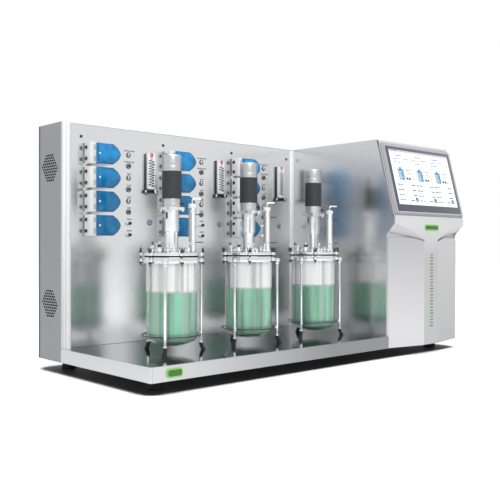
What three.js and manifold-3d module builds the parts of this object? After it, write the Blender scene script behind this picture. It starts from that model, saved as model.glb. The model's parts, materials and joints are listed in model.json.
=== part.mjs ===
// Bench bioreactor with three stirred glass vessels, a rear instrument panel and an operator console.
// Millimetres, +Z up, +X to the right of someone who faces the front, -Y towards that person.
import * as THREE from 'three';
import { mergeVertices } from 'three/addons/utils/BufferGeometryUtils.js';
import Module from 'manifold-3d';

const wasm = await Module();
wasm.setup();

// ---------------------------------------------------------------- driving dimensions
const gap = 0.3;                    // clearance between neighbouring pieces
const sheet = 2;                    // wall of the folded sheet-metal pieces
const bayCount = 3;
const bayPitch = 331;               // from one vessel bay to the next
const postWidth = 37;               // upright at the left end of the instrument panel
const postReturn = 12;              // flange behind the post's right edge
const grooveLeft = 18;              // shut line down the post
const grooveWidth = 1.5;
const cornerMargin = 65;            // from the last bay to the polished side wall
const cabinetHeight = 800;          // metal body, without its feet
const cabinetDepth = 156;           // rear cabinet, back cover to instrument panel
const trayDepth = 515;              // tray, instrument panel to front edge
const trayHeight = 46;
const trayCorner = 4;               // bevel at the tray's free front corner
const panelThickness = 3;
const coverThickness = 1.5;         // rear cover
const panThickness = 3;             // bottom pan
const panDrop = 4;                  // bottom pan above the lower edge of the skirts
const mirrorThickness = 1.5;        // polished side wall

const footHeight = 36;              // below the metal body
const footRadius = 25;
const footPad = 13;                 // height of its wide pad
const footNeck = 22;                // height where its stem begins
const footStem = 20;
const footInset = 75;

const consoleWidth = 466;           // between the side cabinet's outer walls
const consoleMargin = 2;            // side cabinet beyond that width, each side
const consoleSetback = 11;          // side walls' front edge behind the tray's front edge
const fasciaNose = 41;              // fascia's face in front of the side walls
const fasciaWall = 3;
const stripWidth = 94;              // upright strip of the fascia
const headHeight = 32;              // fascia's short outer edge, below the screen
const neckDrop = 59;                // how far the fascia narrows below that edge, down to the strip
const neckReach = 0.63;             // bow of the neck line, as shares of the half width and of the drop
const neckBow = 0.23;
const neckSegments = 6;
const headRake = 0.8;               // fall of the fascia's underside per unit of depth
const shoulderReach = 37;           // side walls' shoulder in front of their lower edge
const shoulderFoot = 31;            // its sloping part, below the fascia's outer edge
const shoulderLip = 9;
const shoulderCurve = 16;
const columnCheek = 5;              // column's outer edges in front of the side walls
const columnTuck = 18;              // column's return between the side walls
const columnWall = 2.5;
const columnRounding = 24;          // rounded upper edge of the column
const columnShadow = 8;             // open joint between column and fascia

const screenTilt = THREE.MathUtils.degToRad(14.6);
const screenSlope = 292;            // screen frame along its slope
const screenTopDrop = 11;           // screen frame's top below the cabinet's top
const screenStandoff = 39;          // screen frame's lower edge in front of the side walls
const screenFrameDepth = 12;
const screenBevel = 8.3;
const screenCorner = 10;
const screenDepth = 8;
const screenRecess = 0.8;           // touch screen behind the frame's front face
const screenSide = 19.5;            // frame at each side of the touch screen
const screenBrow = 18;              // frame above it
const screenChin = 15;              // frame below it
const screenWidth = consoleWidth - 2 * screenSide;
const screenHeight = screenSlope - screenBrow - screenChin;
const screenLedge = 14;             // ledge that the touch screen rests on

const vesselShift = 44.5;           // middle vessel's axis to the right of its bay's middle
const vesselSpread = 7;             // vessels' pitch beyond the bays' pitch
const vesselStandoff = 289;         // vessel axis in front of the instrument panel
const standTurns = [102, 80, 77];   // first leg of each stand, degrees from +X
const legOffset = 7;                // legs' circle outside the clamp ring's edge
const legRadius = 4.5;
const legSplay = THREE.MathUtils.degToRad(28);
const legFootRadius = 6.5;
const legFootHeight = 21;
const socketHeight = 12;            // leg's socket on the clamp ring
const socketWall = 5.5;
const hoopRadius = 3;               // wire hoop that ties the legs
const hoopHeight = 55;
const glassRadius = 82.5;
const glassWall = 5;
const glassBottom = 18;             // lowest point of the dished bottom above the tray
const dishHeight = 28;
const dishSteps = 4;
const glassRim = 5;                 // rim beyond the glass's side
const glassRimHeight = 8;
const mediumLevel = 195;            // liquid level above the tray
const ringBottom = 287;             // clamp ring above the tray
const ringHeight = 19;
const ringBeyond = 7.5;             // clamp ring beyond the glass's rim
const ringClearance = 0.8;          // clamp ring round the glass
const plateGap = 5;                 // seal between clamp ring and head plate
const plateThickness = 10;
const lugRadius = 8;
const lugOffset = 2;                // lugs' circle outside the clamp ring's edge
const lugCount = 6;
const lugInset = 4;                 // ring's lugs thinner than the ring, above and below
const sealInset = 8;                // seal's edge inside the head plate's edge
const portInset = 20.5;             // ports' circle inside the glass's side
const portAngles = [60, 105, 150, 195, 240, 290];
const portRadius = 9;
const portHeight = 15;
const dipInset = 24.5;              // dip tubes' circle inside the glass's side
const dipAngles = [75, 165, 255];
const dipRadius = 5;
const dipBottom = 62;               // lower end of the dip tubes above the tray

const neckRadius = 20.5;
const neckHeight = 66;
const bellRadius = 24;
const bellHeight = 70;
const bellWall = 4;
const bellFootRadius = 27;
const bellFootHeight = 6;
const bearingLength = 16;
const flangeSide = 62;
const flangeThickness = 10;
const windowWidth = 8;
const windowHeight = 24;
const windowTurns = [-78, -104, -104]; // windows of each housing, degrees from the front
const windowDrop = 17;              // window's middle below the square flange
const gearRadius = 29.5;
const gearHeight = 27;
const motorRadius = 31.5;
const motorHeight = 89;
const motorCapHeight = 52;
const capStep = 0.8;
const capBevel = 3;
const shaftRadius = 6;
const couplingRadius = 14;
const couplingHeight = 40;
const couplingDrop = 8;             // coupling's top below the square flange
const impellerRadius = 28;
const impellerHeight = 118;         // impeller's disc above the tray
const impellerBlade = 14;
const impellerHub = 10;
const bladeCount = 6;
const stirClearance = 4;            // free liquid space round the impeller

const condenserAngle = THREE.MathUtils.degToRad(-25);
const condenserInset = 14.5;        // condenser's axis inside the glass's side
const condenserRadius = 11.5;
const condenserHeight = 145;
const condenserFoot = 8;
const condenserCapRadius = 13.5;
const condenserCapHeight = 14;
const nozzleRadius = 2.5;
const nozzleReach = 22;
const ventRadius = 3;
const nozzleHeights = [33, 124];    // above the condenser's foot
const elbowRise = 16;
const elbowReach = 26;

const pumpCount = 4;
const pumpSpacing = 11.3;           // between two pump covers
const pumpTopDrop = 98.5;           // first pump's middle below the cabinet's top
const pumpLeft = 48;                // pump block's left face from the bay's left edge
const blockWidth = 25;
const blockHeight = 72;
const blockDepth = 40;
const railDepth = 6;
const coverWidth = 93;
const coverHeight = 70;
const coverDepth = 48;
const coverWall = 4;
const coverFront = 3;
const coverStraight = 0.15;         // cover's outline, as shares of half its height
const coverBevel = 0.64;
const coverBow = 0.22;
const rotorClearance = 5;           // rotor inside its chamber
const rollerRadius = 6;
const rollerCount = 4;
const armHalfWidth = 5;
const rotorShaftRadius = 4;
const rotorGap = 2;                 // rotor behind the cover's face
const rotorBack = 10;               // rotor in front of the instrument panel
const rotorTail = 12;               // shaft behind the instrument panel
const portBarbRadius = 3.5;
const portBarbReach = 5;
const portDepth = 17;               // tube ports in front of the instrument panel
const portSpread = 19;              // tube ports above and below a pump's middle

const meterInset = 33;              // flow meter's left face from the bay's right edge
const meterWidth = 30;
const meterDepth = 20;
const meterHeight = 147;
const meterTopDrop = 78;
const channelWidth = 8;             // float channel in the flow meter's face
const channelDepth = 4;
const channelFoot = 26;
const channelHead = 12;
const valveWidth = 44;
const valveHeight = 17;
const valveDepth = 24;
const knobRadius = 8.5;
const knobLength = 13;
const knobShift = 8;                // knob's axis to the right of the flow meter's middle
const stemRadius = 3;
const stemLength = 8;

const wideSides = 24;               // flats round the large turned pieces
const midSides = 12;
const thinSides = 8;
const mergeDistance = 1e-4;
const beyond = 1;                   // how far a cutter runs past what it cuts
const farAway = 1000;               // reach of a cutter that takes a whole side off

// ---------------------------------------------------------------- values worked out from them
const bayWidth = postWidth + bayCount * bayPitch + cornerMargin;
const bodyWidth = bayWidth + consoleWidth + 2 * consoleMargin;
const bodyDepth = cabinetDepth + trayDepth;
const sideFront = -(bodyDepth - consoleSetback);
const consoleX = bayWidth + consoleMargin + consoleWidth / 2;
const panelFace = -cabinetDepth;
const screenTop = cabinetHeight - screenTopDrop;
const screenBottom = screenTop - screenSlope * Math.cos(screenTilt);
const screenFaceBottom = sideFront - screenStandoff;
const fasciaFace = sideFront - fasciaNose;
const fasciaHalf = consoleWidth / 2 - 2 * gap;
const stripHalf = stripWidth / 2;
const headCorner = screenBottom - headHeight;
const neckBottom = headCorner - neckDrop;
const columnTop = headCorner - shoulderFoot - columnShadow + 2 * gap;
const panTop = panDrop + panThickness;
const pumpPitch = coverHeight + pumpSpacing;
const rotorRadius = coverHeight / 2 - coverWall - rotorClearance;
const meterLeft = bayPitch - meterInset;
const glassRimRadius = glassRadius + glassRim;
const ringRadius = glassRimRadius + ringBeyond;
const legCircle = ringRadius + legOffset;
const lugCircle = ringRadius + lugOffset;
const portCircle = glassRadius - portInset;
const dipCircle = glassRadius - dipInset;
const condenserCircle = glassRadius - condenserInset;
const ringTop = ringBottom + ringHeight;
const plateBottom = ringTop + plateGap;
const plateTop = plateBottom + plateThickness;
const bellBottom = plateTop + gap;
const flangeBottom = bellBottom + neckHeight + bellHeight;
const flangeTop = flangeBottom + flangeThickness;
const motorBottom = flangeTop + gap;

// ---------------------------------------------------------------- solid helpers
function toSolid(geometry, matrix = null) {
  const bare = geometry.clone();
  bare.deleteAttribute('normal');
  bare.deleteAttribute('uv');
  if (matrix) {
    bare.applyMatrix4(matrix);
  }
  const merged = mergeVertices(bare, mergeDistance);
  const corners = merged.index.array;
  const faces = [];
  for (let i = 0; i < corners.length; i += 3) {
    const [a, b, c] = [corners[i], corners[i + 1], corners[i + 2]];
    if (a !== b && b !== c && c !== a) {
      faces.push(a, b, c);
    }
  }
  const vertProperties = new Float32Array(merged.attributes.position.array);
  if (signedVolume(vertProperties, faces) < 0) {
    faces.reverse();
  }
  const triVerts = new Uint32Array(faces);
  return new wasm.Manifold(new wasm.Mesh({ numProp: 3, vertProperties, triVerts }));
}

function signedVolume(points, faces) {
  const [a, b, c] = [new THREE.Vector3(), new THREE.Vector3(), new THREE.Vector3()];
  let total = 0;
  for (let i = 0; i < faces.length; i += 3) {
    a.fromArray(points, 3 * faces[i]);
    b.fromArray(points, 3 * faces[i + 1]);
    c.fromArray(points, 3 * faces[i + 2]);
    total += a.dot(b.cross(c));
  }
  return total;
}

function toGeometry(solid) {
  const mesh = solid.getMesh();
  const geometry = new THREE.BufferGeometry();
  geometry.setAttribute('position', new THREE.BufferAttribute(new Float32Array(mesh.vertProperties), 3));
  geometry.setIndex(new THREE.BufferAttribute(new Uint32Array(mesh.triVerts), 1));
  geometry.computeVertexNormals();
  return geometry;
}

function block(x0, x1, y0, y1, z0, z1) {
  const move = new THREE.Matrix4().makeTranslation((x0 + x1) / 2, (y0 + y1) / 2, (z0 + z1) / 2);
  return toSolid(new THREE.BoxGeometry(x1 - x0, y1 - y0, z1 - z0), move);
}

// A cylinder between two points.
function rod(radius, from, to, sides = thinSides) {
  const start = new THREE.Vector3(...from);
  const end = new THREE.Vector3(...to);
  const length = start.distanceTo(end);
  const turn = new THREE.Quaternion().setFromUnitVectors(
    new THREE.Vector3(0, 1, 0),
    end.clone().sub(start).normalize(),
  );
  const middle = start.clone().add(end).multiplyScalar(0.5);
  const place = new THREE.Matrix4().compose(middle, turn, new THREE.Vector3(1, 1, 1));
  return toSolid(new THREE.CylinderGeometry(radius, radius, length, sides), place);
}

// A solid of revolution about +Z. Each profile point is [radius, height].
function turned(profile, sides = wideSides) {
  const points = profile.map(([r, z]) => new THREE.Vector2(r, z));
  return toSolid(new THREE.LatheGeometry(points, sides), new THREE.Matrix4().makeRotationX(Math.PI / 2));
}

// An outline in the XY plane, pulled up from z0 to z1.
function prismZ(shape, z0, z1) {
  const options = { depth: z1 - z0, bevelEnabled: false };
  return toSolid(new THREE.ExtrudeGeometry(shape, options), new THREE.Matrix4().makeTranslation(0, 0, z0));
}

// An outline in the XZ plane, pulled back from y0 to y1.
function prismY(shape, y0, y1, curveSegments = 2) {
  const options = { depth: y1 - y0, bevelEnabled: false, curveSegments };
  const place = new THREE.Matrix4().set(1, 0, 0, 0, 0, 0, 1, y0, 0, 1, 0, 0, 0, 0, 0, 1);
  return toSolid(new THREE.ExtrudeGeometry(shape, options), place);
}

// An outline in the YZ plane, pulled across from x0 to x1.
function prismX(shape, x0, x1) {
  const options = { depth: x1 - x0, bevelEnabled: false };
  const place = new THREE.Matrix4().set(0, 0, 1, x0, 1, 0, 0, 0, 0, 1, 0, 0, 0, 0, 0, 1);
  return toSolid(new THREE.ExtrudeGeometry(shape, options), place);
}

function outline(points) {
  return new THREE.Shape(points.map(([u, v]) => new THREE.Vector2(u, v)));
}

function join(solids) {
  return solids.reduce((whole, next) => whole.add(next));
}

function onCircle(radius, angle, z) {
  return [radius * Math.cos(angle), radius * Math.sin(angle), z];
}

// ---------------------------------------------------------------- finishes
const finishes = {
  polishedSteel: { color: 0xd8dadb, roughness: 0.22, metalness: 1.0 },
  brushedSteel: { color: 0xc9cbcc, roughness: 0.32, metalness: 1.0 },
  greyPaint: { color: 0x9d9ea0, roughness: 0.5, metalness: 0.1 },
  lightPaint: { color: 0xd4d5d8, roughness: 0.42, metalness: 0.1 },
  blackRubber: { color: 0x151515, roughness: 0.85, metalness: 0.0 },
  blackMotor: { color: 0x1c1d1f, roughness: 0.5, metalness: 0.4 },
  bluePlastic: { color: 0x1c7cc4, roughness: 0.3, metalness: 0.0 },
  whitePlastic: { color: 0xe8e6dc, roughness: 0.45, metalness: 0.0 },
  screenGlass: { color: 0xe9f0f8, roughness: 0.12, metalness: 0.0 },
  clearGlass: { color: 0xe6f2ee, roughness: 0.04, metalness: 0.0, transparent: true, opacity: 0.3 },
  greenMedium: { color: 0x4fae86, roughness: 0.1, metalness: 0.0, transparent: true, opacity: 0.7 },
};

function piece(name, solid, finish) {
  const mesh = new THREE.Mesh(toGeometry(solid), new THREE.MeshStandardMaterial(finishes[finish]));
  mesh.name = name;
  return mesh;
}

// ---------------------------------------------------------------- cabinet
function rearCabinet() {
  const outer = block(0, bayWidth - gap, panelFace, -coverThickness - gap, 0, cabinetHeight);
  const inner = block(sheet, farAway * 2, -farAway, farAway, -beyond, cabinetHeight - sheet);
  const low = panTop + gap;
  const post = block(0, postWidth, panelFace, panelFace + sheet, low, cabinetHeight);
  const flangeBack = panelFace + postReturn;
  const returnFlange = block(postWidth - sheet, postWidth, panelFace, flangeBack, low, cabinetHeight);
  const grooveRight = grooveLeft + grooveWidth;
  const groove = block(grooveLeft, grooveRight, panelFace - beyond, panelFace + sheet / 2, -beyond, farAway);
  return outer.subtract(inner).add(post).add(returnFlange).subtract(groove);
}

function rearCover() {
  return block(0, bodyWidth, -coverThickness, 0, 0, cabinetHeight);
}

function instrumentPanel() {
  const left = postWidth + gap;
  const right = bayWidth - mirrorThickness - gap;
  const bottom = panTop + gap;
  const top = cabinetHeight - sheet - gap;
  let panel = block(left, right, panelFace, panelFace + panelThickness, bottom, top);
  for (let bay = 0; bay < bayCount; bay += 1) {
    for (let pump = 0; pump < pumpCount; pump += 1) {
      const [x, z] = pumpAxis(bay, pump);
      panel = panel.subtract(
        rod(rotorShaftRadius + 2 * gap, [x, panelFace - 1, z], [x, panelFace + panelThickness + 1, z]),
      );
    }
  }
  return panel;
}

function baseTray() {
  const front = -bodyDepth;
  const back = panelFace - gap;
  const right = bayWidth - gap;
  const plan = outline([
    [0, back],
    [0, front + trayCorner],
    [trayCorner, front],
    [right, front],
    [right, back],
  ]);
  const inside = outline([
    [sheet, back + beyond],
    [sheet, front + trayCorner + sheet / 4],
    [trayCorner + sheet / 4, front + sheet],
    [right + beyond, front + sheet],
    [right + beyond, back + beyond],
  ]);
  return prismZ(plan, 0, trayHeight).subtract(prismZ(inside, -beyond, trayHeight - sheet));
}

function basePan() {
  const clearance = sheet + gap;
  return block(
    clearance,
    bodyWidth - clearance,
    sideFront + clearance,
    -coverThickness - gap - clearance,
    panDrop,
    panTop,
  );
}

function foot() {
  const top = footHeight + panDrop - gap;
  const profile = [
    [0, 0],
    [footRadius, 0],
    [footRadius, footPad],
    [footStem, footNeck],
    [footStem, top],
    [0, top],
  ];
  return turned(profile, midSides);
}

// Side walls' outline in the YZ plane, with the shoulder and the slope that carry the screen.
function sideOutline() {
  const sine = Math.sin(screenTilt);
  const cosine = Math.cos(screenTilt);
  const back = screenFrameDepth + gap;
  const slopeLow = [screenFaceBottom + back * cosine, screenBottom - back * sine];
  const slopeHighY = slopeLow[0] + (cabinetHeight - slopeLow[1]) * Math.tan(screenTilt);
  const shoulder = sideFront - shoulderReach;
  return [
    [-coverThickness - gap, 0],
    [sideFront, 0],
    [sideFront, headCorner - shoulderFoot - shoulderCurve],
    [sideFront - shoulderLip, headCorner - shoulderFoot],
    [shoulder, headCorner],
    [shoulder, slopeLow[1]],
    slopeLow,
    [slopeHighY, cabinetHeight],
    [-coverThickness - gap, cabinetHeight],
  ];
}

function sideCabinet() {
  const left = bayWidth + gap;
  const outer = prismX(outline(sideOutline()), left, bodyWidth);
  const inner = block(left + sheet, bodyWidth - sheet, -farAway, farAway, -beyond, cabinetHeight - sheet);
  const overPan = block(left - beyond, left + sheet + beyond, -farAway, farAway, -beyond, panTop + gap);
  return outer.subtract(inner).subtract(overPan);
}

function mirrorWall() {
  const wall = prismX(outline(sideOutline()), bayWidth - mirrorThickness, bayWidth);
  return wall.intersect(block(0, bodyWidth, -farAway, panelFace - gap, trayHeight + gap, farAway));
}

// ---------------------------------------------------------------- console
// Head of the fascia, narrowing along a curved neck line to the strip.
function headOutline(inset) {
  const half = fasciaHalf - inset;
  const strip = stripHalf - inset;
  const top = screenBottom + screenBevel;
  const shape = new THREE.Shape();
  shape.moveTo(-half, top);
  shape.lineTo(-half, headCorner);
  shape.quadraticCurveTo(-half * neckReach, headCorner - neckDrop * neckBow, -strip, neckBottom);
  shape.lineTo(strip, neckBottom);
  shape.quadraticCurveTo(half * neckReach, headCorner - neckDrop * neckBow, half, headCorner);
  shape.lineTo(half, top);
  return shape;
}

// The head pulled back and down, so that its underside rakes towards the column.
function rakedHead(inset, from, to) {
  const straight = prismY(headOutline(inset), from, to, neckSegments);
  const lift = headRake * fasciaFace;
  const rake = new THREE.Matrix4().set(1, 0, 0, 0, 0, 1, 0, 0, 0, -headRake, 1, lift, 0, 0, 0, 1);
  return straight.transform(rake.toArray());
}

// Everything on and behind the screen's frame, with its clearance.
function screenSpace() {
  const space = block(-farAway, farAway, -screenBevel - gap, farAway, -gap, screenSlope + gap);
  const tilted = space.rotate(-THREE.MathUtils.radToDeg(screenTilt), 0, 0);
  return tilted.translate(0, screenFaceBottom, screenBottom);
}

function consoleFascia() {
  const back = sideFront - columnCheek;
  const outer = rakedHead(0, fasciaFace, back);
  const hollow = rakedHead(fasciaWall, fasciaFace + fasciaWall, back + beyond).translate(0, 0, fasciaWall);
  const strip = block(-stripHalf, stripHalf, fasciaFace, fasciaFace + fasciaWall, 0, neckBottom + beyond);
  return outer.subtract(hollow).add(strip).subtract(screenSpace()).translate(consoleX, 0, 0);
}

function columnPlan(inset) {
  const half = fasciaHalf - inset;
  const tuck = sideFront + columnTuck + columnRounding;
  const cheek = sideFront - columnCheek + inset;
  const nose = fasciaFace + inset;
  const strip = stripHalf - inset / 4;
  return outline([[-half, tuck], [-half, cheek], [-strip, nose], [strip, nose], [half, cheek], [half, tuck]]);
}

function consoleColumn() {
  const rounded = {
    depth: columnTop,
    bevelThickness: columnRounding,
    bevelSize: columnRounding,
    bevelOffset: -columnRounding,
    bevelSegments: 3,
  };
  const kept = block(-farAway, farAway, -farAway, sideFront + columnTuck, 0, columnTop);
  const lower = new THREE.Matrix4().makeTranslation(0, 0, -columnRounding);
  const outer = toSolid(new THREE.ExtrudeGeometry(columnPlan(0), rounded), lower).intersect(kept);
  const inner = prismZ(columnPlan(columnWall), -beyond, columnTop + beyond);
  const slotHalf = stripHalf + gap;
  const slotBack = fasciaFace + fasciaWall + gap;
  const slot = block(-slotHalf, slotHalf, -farAway, slotBack, -beyond, farAway);
  const webHalf = slotHalf + columnWall;
  const web = block(-webHalf, webHalf, fasciaFace, slotBack + columnWall, 0, columnTop).intersect(outer);
  const overPan = block(-farAway, farAway, sideFront, farAway, -beyond, panTop + gap);
  const underside = rakedHead(0, fasciaFace, sideFront + columnTuck + beyond).translate(0, 0, -columnShadow);
  const shell = outer.subtract(inner).add(web).subtract(slot);
  return shell.subtract(overPan).subtract(underside).translate(consoleX, 0, 0);
}

// The screen's frame and glass stand upright here; their group tilts them back.
function screenFrame() {
  const half = consoleWidth / 2;
  const round = screenCorner;
  const face = new THREE.Shape();
  face.moveTo(-half + round, 0);
  face.lineTo(half - round, 0);
  face.absarc(half - round, round, round, -Math.PI / 2, 0);
  face.lineTo(half, screenSlope - round);
  face.absarc(half - round, screenSlope - round, round, 0, Math.PI / 2);
  face.lineTo(-half + round, screenSlope);
  face.absarc(-half + round, screenSlope - round, round, Math.PI / 2, Math.PI);
  face.lineTo(-half, round);
  face.absarc(-half + round, round, round, Math.PI, (3 * Math.PI) / 2);
  const bevelled = {
    depth: screenFrameDepth + screenBevel,
    bevelThickness: screenBevel,
    bevelSize: screenBevel,
    bevelOffset: -screenBevel,
    bevelSegments: 1,
    curveSegments: 3,
  };
  const place = new THREE.Matrix4().set(1, 0, 0, 0, 0, 0, 1, 0, 0, 1, 0, 0, 0, 0, 0, 1);
  const low = screenChin - gap;
  const high = screenChin + screenHeight + gap;
  const pocketHalf = screenWidth / 2 + gap;
  const pocketBack = -screenBevel + screenRecess + screenDepth + gap;
  const kept = block(-farAway, farAway, -farAway, screenFrameDepth, -beyond, farAway);
  const pocket = block(-pocketHalf, pocketHalf, -farAway, pocketBack, low, high);
  const inner = pocketHalf - screenLedge;
  const opening = block(-inner, inner, -farAway, farAway, low + screenLedge, high - screenLedge);
  const frame = toSolid(new THREE.ExtrudeGeometry(face, bevelled), place);
  return frame.intersect(kept).subtract(pocket).subtract(opening);
}

function touchScreen() {
  const half = screenWidth / 2;
  const front = -screenBevel + screenRecess;
  return block(-half, half, front, front + screenDepth, screenChin, screenChin + screenHeight);
}

// ---------------------------------------------------------------- instrument panel fittings
function bayLeft(bay) {
  return postWidth + bay * bayPitch;
}

function vesselX(bay) {
  const middleBay = (bayCount - 1) / 2;
  return postWidth + (bayCount * bayPitch) / 2 + vesselShift + (bay - middleBay) * (bayPitch + vesselSpread);
}

function pumpAxis(bay, pump) {
  const x = bayLeft(bay) + pumpLeft + blockWidth + coverWidth - coverHeight / 2;
  return [x, cabinetHeight - pumpTopDrop - pump * pumpPitch];
}

// D-shaped pump cover: flat towards the block, bevelled corners, round nose.
function coverShape(inset) {
  const half = coverHeight / 2 - inset;
  const nose = half;
  const [bevelX, bevelZ] = [nose * coverBevel, half * coverBevel];
  const flat = -(coverWidth - coverHeight / 2) + inset;
  const shape = new THREE.Shape();
  shape.moveTo(flat, -half);
  shape.lineTo(nose * coverStraight, -half);
  shape.lineTo(bevelX, -bevelZ);
  shape.quadraticCurveTo(nose, -half * coverBow, nose, 0);
  shape.quadraticCurveTo(nose, half * coverBow, bevelX, bevelZ);
  shape.lineTo(nose * coverStraight, half);
  shape.lineTo(flat, half);
  return shape;
}

function pumpBank(bay) {
  const back = panelFace - gap;
  const left = bayLeft(bay) + pumpLeft;
  const right = left + blockWidth;
  const [, highest] = pumpAxis(bay, 0);
  const [, lowest] = pumpAxis(bay, pumpCount - 1);
  const halfBlock = blockHeight / 2;
  const parts = [block(left, right, back - railDepth, back, lowest - halfBlock, highest + halfBlock)];
  for (let pump = 0; pump < pumpCount; pump += 1) {
    const [x, z] = pumpAxis(bay, pump);
    const cover = prismY(coverShape(0), back - coverDepth, back);
    const chamber = prismY(coverShape(coverWall), back - coverDepth + coverFront, back + beyond);
    parts.push(block(left, right + coverWall / 2, back - blockDepth, back, z - halfBlock, z + halfBlock));
    parts.push(cover.subtract(chamber).translate(x, 0, z));
    for (const side of [-1, 1]) {
      const portY = back - portDepth;
      const portZ = z + side * portSpread;
      parts.push(rod(portBarbRadius, [left - portBarbReach, portY, portZ], [left + beyond, portY, portZ]));
    }
  }
  return join(parts);
}

// Cross of arms, each with a roller at its end.
function rotorShape() {
  const reach = rotorRadius - rollerRadius;
  const shape = new THREE.Shape();
  for (let i = 0; i < rollerCount; i += 1) {
    const angle = ((2 * i + 1) * Math.PI) / rollerCount;
    const root = angle - Math.PI / rollerCount;
    const crotch = armHalfWidth / Math.sin(Math.PI / rollerCount);
    const start = [crotch * Math.cos(root), crotch * Math.sin(root)];
    if (i === 0) {
      shape.moveTo(...start);
    } else {
      shape.lineTo(...start);
    }
    const tip = [reach * Math.cos(angle), reach * Math.sin(angle)];
    shape.absarc(...tip, rollerRadius, angle - Math.PI / 2, angle + Math.PI / 2, false);
  }
  return shape;
}

function pumpRotor() {
  const front = -coverDepth + coverFront + rotorGap;
  const shaft = rod(rotorShaftRadius, [0, -rotorBack - beyond, 0], [0, gap + panelThickness + rotorTail, 0]);
  return prismY(rotorShape(), front, -rotorBack).add(shaft);
}

function flowMeter(bay) {
  const back = panelFace - gap;
  const left = bayLeft(bay) + meterLeft;
  const top = cabinetHeight - meterTopDrop;
  const bottom = top - meterHeight;
  const middle = left + meterWidth / 2;
  const [knobX, knobZ] = knobPlace(bay);
  const body = block(left, left + meterWidth, back - meterDepth, back, bottom, top);
  const valve = block(
    middle - valveWidth / 2,
    middle + valveWidth / 2,
    back - valveDepth,
    back,
    bottom,
    bottom + valveHeight,
  );
  const stemHole = rod(
    stemRadius + gap,
    [knobX, back - valveDepth - beyond, knobZ],
    [knobX, back - valveDepth + stemLength + gap, knobZ],
  );
  const channelBack = back - meterDepth + channelDepth;
  const half = channelWidth / 2;
  const low = bottom + channelFoot;
  const groove = block(middle - half, middle + half, -farAway, channelBack, low, top - channelHead);
  return body.add(valve).subtract(groove).subtract(stemHole);
}

function knobPlace(bay) {
  const x = bayLeft(bay) + meterLeft + meterWidth / 2 + knobShift;
  const z = cabinetHeight - meterTopDrop - meterHeight + valveHeight / 2;
  return [x, z];
}

function valveKnob() {
  const face = -valveDepth - gap;
  const grip = rod(knobRadius, [0, face - knobLength, 0], [0, face - gap, 0], midSides);
  const stem = rod(stemRadius, [0, face - 2, 0], [0, face + stemLength, 0]);
  const pointer = block(-1, 1, face - knobLength - 1, face - knobLength + 2, 0, knobRadius - 1);
  return grip.add(stem).add(pointer);
}

// ---------------------------------------------------------------- one vessel
// About its own axis, z = 0 on the tray.

// Points of a dished bottom from its edge to the axis.
function dish(radius, edge, depth, steps) {
  const bow = (radius * radius + depth * depth) / (2 * depth);
  const points = [];
  for (let i = 0; i <= steps; i += 1) {
    const r = radius * (1 - i / steps);
    points.push([r, edge - depth + bow - Math.sqrt(bow * bow - r * r)]);
  }
  return points;
}

function vesselGlass() {
  const edge = glassBottom + dishHeight;
  const inner = glassRadius - glassWall;
  const rimTop = ringTop;
  const outside = [
    [glassRimRadius, rimTop],
    [glassRimRadius, rimTop - glassRimHeight],
    [glassRadius, rimTop - glassRimHeight],
    ...dish(glassRadius, edge, dishHeight, dishSteps),
  ];
  const inside = dish(inner, edge + 1, dishHeight - glassWall + 1, dishSteps).reverse();
  return turned([...outside, ...inside, [inner, rimTop], [glassRimRadius, rimTop]]);
}

function cultureMedium() {
  const edge = glassBottom + dishHeight;
  const radius = glassRadius - glassWall - gap;
  const bottom = dish(radius, edge + 1 + gap, dishHeight - glassWall + 1, dishSteps);
  const shaftHole = shaftRadius + 1;
  const sweep = impellerRadius + stirClearance;
  const low = impellerHeight - impellerBlade / 2 - stirClearance;
  const high = impellerHeight + impellerBlade / 2 + stirClearance;
  let liquid = turned([
    ...bottom,
    [0, low],
    [sweep, low],
    [sweep, high],
    [shaftHole, high],
    [shaftHole, mediumLevel],
    [radius, mediumLevel],
    [radius, edge + 1 + gap],
  ]);
  for (const angle of dipAngles.map(THREE.MathUtils.degToRad)) {
    const foot = onCircle(dipCircle, angle, dipBottom - 1);
    const head = onCircle(dipCircle, angle, mediumLevel + 1);
    liquid = liquid.subtract(rod(dipRadius + 2 * gap, foot, head));
  }
  return liquid;
}

function legFoot(angle) {
  const reach = legCircle + Math.tan(legSplay) * (legFootHeight + legFootRadius);
  const top = onCircle(legCircle, angle, legFootHeight);
  const bottom = onCircle(reach, angle, -legFootRadius);
  return rod(legFootRadius, bottom, top).intersect(block(-farAway, farAway, -farAway, farAway, 0, farAway));
}

function vesselStand(turn) {
  const innerRadius = glassRadius + ringClearance;
  const recess = glassRimRadius + ringClearance;
  const shelfTop = ringTop - glassRimHeight - gap;
  const ring = turned([
    [innerRadius, ringBottom],
    [ringRadius, ringBottom],
    [ringRadius, ringTop],
    [recess, ringTop],
    [recess, shelfTop],
    [innerRadius, shelfTop],
    [innerRadius, ringBottom],
  ]);
  const hoopCircle = legCircle - legRadius - hoopRadius + 1;
  const hoop = new THREE.TorusGeometry(hoopCircle, hoopRadius, thinSides, wideSides);
  const parts = [ring, toSolid(hoop, new THREE.Matrix4().makeTranslation(0, 0, hoopHeight))];
  for (let leg = 0; leg < 3; leg += 1) {
    const angle = turn + (leg * 2 * Math.PI) / 3;
    const legTop = onCircle(legCircle, angle, ringBottom + socketHeight);
    parts.push(rod(legRadius, onCircle(legCircle, angle, legFootHeight - 3), legTop));
    parts.push(rod(legRadius + socketWall, onCircle(legCircle, angle, ringBottom), legTop));
    parts.push(legFoot(angle));
  }
  parts.push(...lugs(turn, ringBottom + lugInset, ringTop - lugInset));
  return join(parts);
}

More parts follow.
